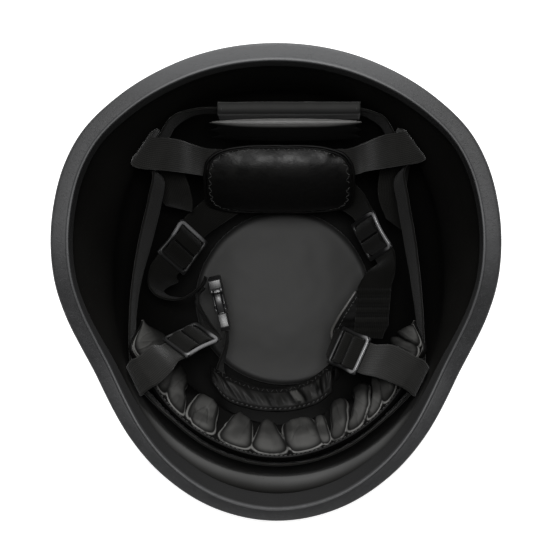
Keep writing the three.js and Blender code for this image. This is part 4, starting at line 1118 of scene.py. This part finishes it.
def makeSweatband():
    stations, steps = 640, 60
    angles = [-74 + 148 * i / stations for i in range(stations + 1)]
    shares = [0, 0.012, 0.025, 0.032, 0.038, 0.045, 0.055, 0.07, 0.09]
    shares += [0.09 + 0.89 * k / steps for k in range(1, steps + 1)] + [0.995]
    under = [0.97, 0.85, 0.6, 0.35, 0.12, 0.03]
    rings, lay = [], []
    for angle in angles:
        ring = []
        for share in shares:
            rise, near = bandRise(angle, share)
            ring.append(bandPoint(angle, share, rise))
            # lay: the puff edge, from which the finish paints highlights on the puffs and shade in the
            # valleys, then the outer foot and the underside, both painted shade
            lay.append((near, smooth(0.05, 0.0, share), share))
        for share in under:
            ring.append(bandPoint(angle, share, -band["half"] * (1 if 0.1 < share < 0.9 else 0.4)))
            lay.append((2, 1, share))
        rings.append(ring)
    made = makeLoft("sweatbandVinyl", rings, leather, ["sweatband"], lay)
    face = band["half"] * 0.35
    for share, radius, name in ((0.0, 0.6, "sweatbandPiping"), (0.042, 0.35, "sweatbandCord")):
        spots = [bandPoint(a, share, face + 0.15) for a in angles[2:-2:2]]
        makeTube(name, spots, radius, cupSkin)
    for side, name in ((-1, "sweatbandHemLeft"), (1, "sweatbandHemRight")):
        for share, end in ((0.03, "Out"), (0.97, "In")):
            spots = [bandPoint(side * (60 + 13.8 * k / 40), share, 1.4) for k in range(41)]
            makeTube(name + end, spots, 0.45, piping)
    stitchSpots = [bandPoint(a, 0.028, face + 0.5) for a in angles[4:-4:3]]
    makeStitches("sweatbandStitches", *ontoPiece(made, stitchSpots), length=1.7, gap=1.0, thick=0.2)


crownPad = {"x": 2, "y": -7.7, "radius": 57, "thickness": 8.5, "bed": 0.9}


def domeFloor(x, y):
    offset = y - shell["crownY"] * 0.8
    share = math.hypot(x, offset) / (beltRadius(math.degrees(math.atan2(x, offset))) - shell["wall"])
    n = shell["fullness"]
    return shell["wall"] + (shell["beltHeight"] - shell["wall"]) * (1 - (1 - share ** n) ** (1 / n))


def makeCrownPad():
    sectors, rings, lay = 128, [], []
    under = (0.05, 0.3, 0.6, 0.85, 0.96, 0.99)
    over = [1, 0.997, 0.985, 0.965, 0.94, 0.91, 0.87] + [0.83 - 0.8 * k / 18 for k in range(19)]
    for share, onTop in [(s, False) for s in under] + [(s, True) for s in over]:
        ring = []
        for i in range(sectors):
            turn = math.tau * i / sectors
            reach = crownPad["radius"] * share * (1 + 0.008 * math.sin(3 * turn + 1))
            x, y = crownPad["x"] + reach * math.sin(turn), crownPad["y"] + reach * math.cos(turn)
            bed = domeFloor(x, y) + crownPad["bed"]
            edge = math.sqrt(max(0, 1 - max(0, (share - 0.9) / 0.1) ** 2))
            fat = crownPad["thickness"] * (0.25 + 0.75 * edge) * (0.86 + 0.14 * (1 - share * share))
            dent = 0.55 * noise.noise(V(x / 26, y / 26, 2)) + 0.2 * noise.noise(V(x / 9, y / 9, 5))
            ring.append(V(x, y, bed + (fat + dent if onTop else 0)))
            lay.append((share, 0, 0))
        rings.append(ring)
    made = makeLoft("crownPadCover", rings, cover, ["crown_pad"], lay)


napePad = {"x": 0.5, "halfWidth": 46, "border": 1.3, "squareness": 3.4,
           "voxel": 2.6, "pressure": 5, "mostSwell": 5}
napeFall = [V(0, y, z) for y, z in ((82, 101.5), (71, 97.5), (59, 87), (50, 73), (45.5, 59))]


def napePoint(u, v, rise):
    t = min(max(0.5 + v / 2, 0), 1)
    at = splinePoint(napeFall, t)
    ahead = splinePoint(napeFall, min(t + 0.01, 1)) - splinePoint(napeFall, max(t - 0.01, 0))
    away = ahead.cross(V(1, 0, 0)).normalized()
    away = -away if away.z < 0 else away
    spot = at + away * rise
    spot.x = napePad["x"] + u * napePad["halfWidth"]
    return spot


def napeOutline(turn, share):
    c, s, n = math.cos(turn), math.sin(turn), napePad["squareness"]
    reach = (abs(c) ** n + abs(s) ** n) ** (-1 / n) * share
    return c * reach, s * reach


def makeNapePad():
    sides, rings = 72, []
    shares = [0.1, 0.25, 0.4, 0.55, 0.7, 0.8, 0.87, 0.92, 1]

    def fat(share, up):
        full = 0 if share > 0.88 else math.cos(math.pi / 2 * (share / 0.88) ** 2.4)
        return napePad["border"] + (4.0 * full if up else 1.0 * full)

    for share, face in [(s, -1) for s in shares] + [(s, 1) for s in shares[::-1]]:
        rings.append([napePoint(*napeOutline(math.tau * i / sides, share), face * fat(share, face > 0))
                      for i in range(sides)])
    made = makeLoft("napePadVinyl", rings, padSkin, ["nape_pad"])

    def border(co):
        spot = V(co.x * 1000, co.y * 1000 - frameShift, co.z * 1000)
        u, n = abs(spot.x - napePad["x"]) / napePad["halfWidth"], napePad["squareness"]
        away = lambda t: (splinePoint(napeFall, t) - V(0, spot.y, spot.z)).length
        near = min((k / 24 for k in range(25)), key=away)
        v = abs(near * 2 - 1)
        return 1.0 if (u ** n + v ** n) ** (1 / n) > 0.87 else 0.0

    puffUp(made, napePad, border)
    modify(made, "SMOOTH", factor=0.5, iterations=14)
    applyAll(made)
    turns = [math.tau * k / 220 for k in range(221)]
    ripple = lambda turn, share: noise.noise(V(math.cos(turn) * 5, math.sin(turn) * 5, share * 9))
    wavy = lambda turn, share: share + 0.012 * ripple(turn, share)
    for share, radius, rise, name in ((0.995, 0.95, 0.2, "napePadPiping"), (0.955, 0.5, 1.3, "napePadCord")):
        edge = [napePoint(*napeOutline(turn, wavy(turn, share)), rise) for turn in turns[:-1]]
        makeTube(name, edge, radius, cupSkin, isLoop=True)
    seam = [napePoint(*napeOutline(turn, 0.925), 1.6) for turn in turns]
    placed, normals = ontoPiece(made, seam)
    for _ in range(8):  # evens out the spots that fall into a fold of the cover
        beside = [(placed[k - 1] + placed[(k + 1) % len(placed)]) / 2 for k in range(len(placed))]
        placed = [p.lerp(middle, 0.5) for p, middle in zip(placed, beside)]
    makeStitches("napePadStitches", placed, normals, length=2.2, gap=0.9, thick=0.26, zigzag=0.9)


backPad = {"x": 5.5, "halfWidth": 47, "top": (94.2, 124), "foot": (88.3, 84), "half": 3.7,
           "voxel": 2.4, "pressure": 3.5, "mostSwell": 1.6}


def backPoint(share, v, rise):
    down = V(0, backPad["foot"][0] - backPad["top"][0], backPad["foot"][1] - backPad["top"][1])
    face = V(0, -down.z, down.y).normalized()
    spot = V(backPad["x"] + share * backPad["halfWidth"], *backPad["top"]) + down * v
    return spot + face * rise


def makeBackPad():
    stations, sides, rings = 60, 40, []
    for k in range(stations + 1):
        share = -1 + 2 * k / stations
        full = 0.14 + 0.86 * (1 - abs(share) ** 3)
        ring = []
        for j in range(sides):
            turn = math.tau * j / sides
            c, s = math.cos(turn), math.sin(turn)
            v = 0.5 - 0.5 * math.copysign(abs(s) ** 0.5, s)
            rise = math.copysign(abs(c) ** 0.6, c) * backPad["half"] * 0.82 * full
            ring.append(backPoint(share * 0.99, v, rise))
        rings.append(ring)
    made = makeLoft("backPadVinyl", rings, backSkin, ["back_pad"])

    def ends(co):
        share = abs(co.x * 1000 - backPad["x"]) / backPad["halfWidth"]
        return 1.0 if share > 0.955 else 0.0

    puffUp(made, backPad, ends)
    for rise, name in ((1.7, "backPadSeamInner"), (-1.7, "backPadSeamOuter")):
        spots = [backPoint(-0.97 + 1.94 * k / 90, 0.03, rise) for k in range(91)]
        placed, _ = ontoPiece(made, spots, -0.1)
        makeTube(name, placed, 0.42, piping)


backFlap = {"x": 7, "halfWidth": 42.5, "inner": flapInnerFace, "outer": 105.8, "top": 125, "innerFoot": 98,
            "outerFoot": 100, "wall": 1.4, "bend": 1.9, "bendFoot": 2.6}


def makeBackFlap():
    f = backFlap
    half, bend, shoulder = f["wall"] / 2, f["bend"], f["top"] - f["bendFoot"]
    turns = [math.radians(18 * k) for k in range(6)]
    outline = [(f["inner"] + half, blend(f["innerFoot"], shoulder, k / 6)) for k in range(7)]
    outline += [(f["inner"] + half + bend * (1 - math.cos(a)), shoulder + bend * math.sin(a))
                for a in turns[1:]]
    outline += [(blend(f["inner"] + f["bendFoot"], f["outer"] - f["bendFoot"], k / 5), f["top"] - half)
                for k in range(1, 5)]
    outline += [(f["outer"] - half - bend * (1 - math.cos(a)), shoulder + bend * math.sin(a))
                for a in turns[::-1]]
    outline += [(f["outer"] - half, blend(shoulder, f["outerFoot"], k / 6)) for k in range(1, 7)]
    stations, rings, lay = 56, [], []
    for k in range(stations + 1):
        share = -1 + 2 * k / stations
        near, far = [], []
        for i, (y, z) in enumerate(outline):
            before, after = outline[max(i - 1, 0)], outline[min(i + 1, len(outline) - 1)]
            dy, dz = after[0] - before[0], after[1] - before[1]
            size = math.hypot(dy, dz)
            ny, nz = -dz / size, dy / size
            dent = 0.45 * noise.noise(V(share * 2.6, z / 12, y / 7))
            dent -= 0.5 * math.exp(-((y - 100.4) / 1.1) ** 2)
            for sign, side in ((1, near), (-1, far)):
                off = sign * 0.62 + dent * 0.5
                side.append(V(f["x"] + share * f["halfWidth"], y + ny * off, z + nz * off))
        ring = near + far[::-1]
        rings.append(ring)
        lay += [(share * f["halfWidth"], min(i, len(ring) - 1 - i), 0) for i in range(len(ring))]
    made = makeLoft("backFlapCloth", rings, cloth, ["back_flap"], lay)
    for side, name in ((-1, "backFlapStitchesLeft"), (1, "backFlapStitchesRight")):
        x = f["x"] + side * (f["halfWidth"] - 2.2)
        spots = [V(x, blend(f["inner"] + 2.2, f["outer"] - 2.2, k / 12), f["top"]) for k in range(13)]
        makeStitches(name, *ontoPiece(made, spots), length=1.4, gap=0.6, thick=0.2)


# the closed buckle stands on edge; blocks are outlines along and across it, between two depths

buckle = {"from": (-41.4, 4.2, 54.5), "to": (-33.8, -28.8, 50.5), "width": 25, "thickness": 7.6,
          "share": 0.66, "edge": 0.45}


def makeBlocks(name, blocks, stands):
    start = Vector(buckle["from"])
    u = (Vector(buckle["to"]) - start).normalized()
    n = V(u.y, -u.x, 0).normalized()
    w = n.cross(u)
    points, faces = [], []
    for outline, low, high in blocks:
        base = len(points)
        for depth in (low, high):
            points += [start + u * a + w * b + n * depth for a, b in outline]
        faces += [tuple(base + v for v in f) for f in loftFaces(2, len(outline))]
    made = facesOut(makePiece(name, points, faces, plastic, stands))
    roundEdges(made, buckle["edge"], 35)


def makeBuckle():
    length = (Vector(buckle["to"]) - Vector(buckle["from"])).length
    end, half, deep = length * buckle["share"], buckle["width"] / 2, buckle["thickness"] / 2
    both = lambda pairs: pairs + [(a, -b) for a, b in pairs[::-1]]
    mouth = both([(0, half - 1.4), (1.4, half), (6.8, half), (7.4, half - 0.5)])
    plate = both([(6.5, half - 0.8), (9, half - 0.6), (11, half - 3.4), (end - 5, half - 3.8),
                  (end - 2.5, half - 1.4), (end, half - 1.8)])
    core = both([(7.0, half - 5), (end - 1, half - 5)])
    makeBlocks("buckleSocketFine", [
        (mouth, -deep, deep), (plate, deep - 1.5, deep - 0.1), (plate, -deep + 0.1, -deep + 1.5),
        (core, -2.2, 2.2)], ["buckle_socket"])
    arm = [(9.2, half - 3.6), (10.4, half - 0.9), (13, half - 0.1), (17, half - 0.3), (end - 0.4, half - 1.3),
           (end - 0.2, half - 4.2), (14, half - 4.4)]
    otherArm = [(a, -b) for a, b in arm[::-1]]
    grip = both([(end + 0.5, half - 1.9), (length - 2.6, half - 0.9), (length - 0.3, half - 2.4)])
    neck = both([(end - 0.6, half - 4.6), (end + 1.0, half - 4.6)])
    makeBlocks("bucklePlugFine", [
        (arm, -2.0, 2.0), (otherArm, -2.0, 2.0), (grip, -2.8, 2.8), (neck, -1.8, 1.8)], ["buckle_plug"])


# the chin cup and the cheek tab are sewn vinyl: a surface between two edges, puckered between its seams

cupRows = [((-43.6, -51.8, 62), (-41.6, -62.4, 69)), ((-33.0, -58.4, 61), (-33.4, -72.6, 71)),
           ((-18.0, -64.4, 59.6), (-18.4, -78.4, 72)), ((-2.6, -66.8, 59), (-3.4, -80.2, 72)),
           ((11.4, -64.0, 59.6), (12.4, -79.0, 72)), ((23.6, -57.8, 61.4), (25.2, -74.6, 71.6)),
           ((33.4, -49.4, 63), (33.0, -68.4, 70.6))]
tabRows = [((48.4, -4.6, 63.2), (66.6, -5.2, 63.2)), ((42.8, -13.0, 62.8), (63.6, -14.4, 62.8)),
           ((36.6, -22.6, 61.0), (58.6, -24.6, 61.0)), ((33.0, -31.0, 57.4), (53.0, -35.0, 56.6)),
           ((35.0, -40.4, 55.6), (47.4, -46.6, 54.6)), ((35.8, -46.8, 58.4), (41.0, -54.6, 58.0)),
           ((36.0, -52.6, 63.0), (35.2, -61.6, 66.2))]


def sewnSheet(rows):
    inner, outer = [Vector(r[0]) for r in rows], [Vector(r[1]) for r in rows]

    def at(u, v, rise=0.0):
        a, b = splinePoint(inner, u), splinePoint(outer, u)
        ahead = splinePoint(inner, min(u + 0.01, 1)) - splinePoint(inner, max(u - 0.01, 0))
        normal = ahead.cross(b - a).normalized()
        normal = -normal if normal.z < 0 else normal
        return a.lerp(b, v) + normal * rise, normal

    return at


def makeSewn(name, rows, rise, size, finish, stands, shade=lambda u, v: (0, 0, 0)):
    thickness, columns, across = size
    at = sewnSheet(rows)
    over = [0.5 - 0.5 * math.cos(math.pi * j / across) for j in range(across + 1)]
    under = ((0.98, 0.4), (0.8, 1), (0.5, 1), (0.2, 1), (0.02, 0.4))
    rings, lay = [], []
    for i in range(columns + 1):
        u = i / columns
        full = 0.3 + 0.7 * min(1, min(u, 1 - u) * columns / 5) ** 0.5
        top = [at(u, v, rise(u, v) * full)[0] for v in over]
        below = [at(u, v, -thickness / 2 * full * share)[0] for v, share in under]
        rings.append(top + below)
        lay += [shade(u, v) for v in over] + [(0, 1, 0)] * len(under)
    return makeLoft(name, rings, finish, stands, lay), at


def makeChinCup():
    def rise(u, v):
        lip = 0.7 * (math.exp(-((v - 0.065) / 0.06) ** 2) + 0.9 * math.exp(-((v - 0.95) / 0.04) ** 2))
        middle = max(0, math.sin(math.pi * (v - 0.2) / 0.64)) if 0.2 < v < 0.84 else 0
        lean = u * 9 - v * 2.2 * (1 - u)
        fans = noise.noise(V(lean, v * 0.8, 4)) + 0.35 * noise.noise(V(lean * 2.6, v * 1.6, 9))
        pinch = max(0, noise.noise(V(u * 60, v * 1.5, 1))) * smooth(0.35, 0.6, u)
        near = math.exp(-((v - 0.24) / 0.1) ** 2)
        return 0.75 + lip + 1.2 * middle ** 0.6 + 2.0 * fans * middle ** 0.5 + 1.1 * pinch * near

    # the fold crests, from the same noise as the folds, are painted pale as painted highlight; the inner strip
    # up to its seam and the outer border are painted darker
    def shade(u, v):
        strip = 1 - smooth(0.17, 0.27, v) + smooth(0.8, 0.84, v) * 0.7
        fold = 0.5 + 0.9 * noise.noise(V(u * 9 - v * 2.2 * (1 - u), v * 0.8, 4))
        return 0.78 * smooth(0, 1.1, 1 - fold), min(strip, 0.95), 0

    made, at = makeSewn("chinCupVinyl", cupRows, rise, (3.0, 300, 44), cupFolds, ["chin_cup"], shade)
    for v, name, zigzag in (
            (0.145, "chinCupStitchTop", 0.9), (0.88, "chinCupStitchInner", 0),
            (0.965, "chinCupStitchOuter", 0)):
        spots = [at(0.02 + 0.96 * k / 160, v, 2.2)[0] for k in range(161)]
        placed, normals = ontoPiece(made, spots)
        makeStitches(name, placed, normals, length=1.7, gap=1.3, thick=0.25, zigzag=zigzag, finish=darkThread)


def makeCheekTab():
    def rise(u, v):
        puff = 0.8 * max(0, math.sin(math.pi * v)) ** 0.5
        folds = noise.noise(V(u * 9, v * 2, 6)) + 0.5 * noise.noise(V(u * 21, v * 5, 2))
        return 0.5 + puff + 0.9 * folds * math.sin(math.pi * v)

    made, at = makeSewn("cheekTabVinyl", tabRows, rise, (2.0, 160, 30), strapSkin, ["cheek_tab"])
    spots = [at(0.01 + 0.98 * k / 120, 0.0, 0.2)[0] for k in range(121)]
    makeTube("cheekTabPiping", spots, 0.9, piping)
    seam = [at(0.02 + 0.96 * k / 120, 0.14, 1.4)[0] for k in range(121)]
    placed, normals = ontoPiece(made, seam)
    makeStitches("cheekTabStitches", placed, normals, length=1.6, gap=1.2, thick=0.22)


makeSweatband()
makeCrownPad()
makeNapePad()
makeBackPad()
makeBackFlap()
makeBuckle()
makeChinCup()
makeCheekTab()
print("pads, cup, tab and buckle made")

# the camera looks down into the bowl, three degrees off the vertical

view = {"focus": (0, 0, 172), "distance": 1000, "back": (0.0236, -0.0466), "lens": 115.7}
back = Vector((*view["back"], math.sqrt(1 - view["back"][0] ** 2 - view["back"][1] ** 2)))
right = (Vector((1, 0, 0)) - back * back.x).normalized()
upward = back.cross(right)
camera = bpy.data.objects.new("camera", bpy.data.cameras.new("camera"))
bpy.context.scene.collection.objects.link(camera)
camera.data.sensor_width, camera.data.lens = 36, view["lens"]
camera.data.clip_start, camera.data.clip_end = 0.05, 50
turned = Matrix((right, upward, back)).transposed().to_4x4()
camera.matrix_world = Matrix.Translation(mm(view["focus"]) + back * view["distance"] / 1000) @ turned
bpy.context.scene.camera = camera


def softbox(name, at, aim, size, power):
    lamp = bpy.data.lights.new(name, "AREA")
    lamp.shape, lamp.size, lamp.size_y, lamp.energy = "RECTANGLE", *size, power
    box = bpy.data.objects.new(name, lamp)
    bpy.context.scene.collection.objects.link(box)
    box.location = at
    box.rotation_euler = (Vector(at) - Vector(aim)).to_track_quat("Z", "Y").to_euler()


studio = {"floorHalf": 12, "floorGlow": 0.75, "surround": 0.06}  # metres, then two emission strengths


def makeStudio():
    softbox("rearBox", (0.05, 1.9, 1.5), (0, -0.05, 0.1), (0.9, 0.5), 46)
    softbox("overheadBox", (0.05, 0.12, 2.1), (0, 0, 0.1), (0.7, 0.45), 26)
    side = studio["floorHalf"]
    mesh = bpy.data.meshes.new("floor")
    corners = [(-side, -side, 0), (side, -side, 0), (side, side, 0), (-side, side, 0)]
    mesh.from_pydata(corners, [], [(0, 1, 2, 3)])
    floor = bpy.data.objects.new("floor", mesh)
    bpy.context.scene.collection.objects.link(floor)
    paper = Finish("paper", (0.9, 0.9, 0.9), 0.9)
    paper.feed("Base Color", paper.mix(paper.grain(60, 2) * 0.2, (0.9, 0.9, 0.9), (0.88, 0.88, 0.88)))
    paper.shader.inputs["Emission Color"].default_value = (1, 1, 1, 1)
    paper.shader.inputs["Emission Strength"].default_value = studio["floorGlow"]
    mesh.materials.append(paper.material)
    world = bpy.data.worlds.new("studio")
    world.use_nodes = True
    background = world.node_tree.nodes["Background"]
    background.inputs["Color"].default_value = (1, 1, 1, 1)
    background.inputs["Strength"].default_value = studio["surround"]
    bpy.context.scene.world = world
    bpy.context.scene.view_settings.view_transform = "Standard"


makeStudio()
print("camera and studio set")
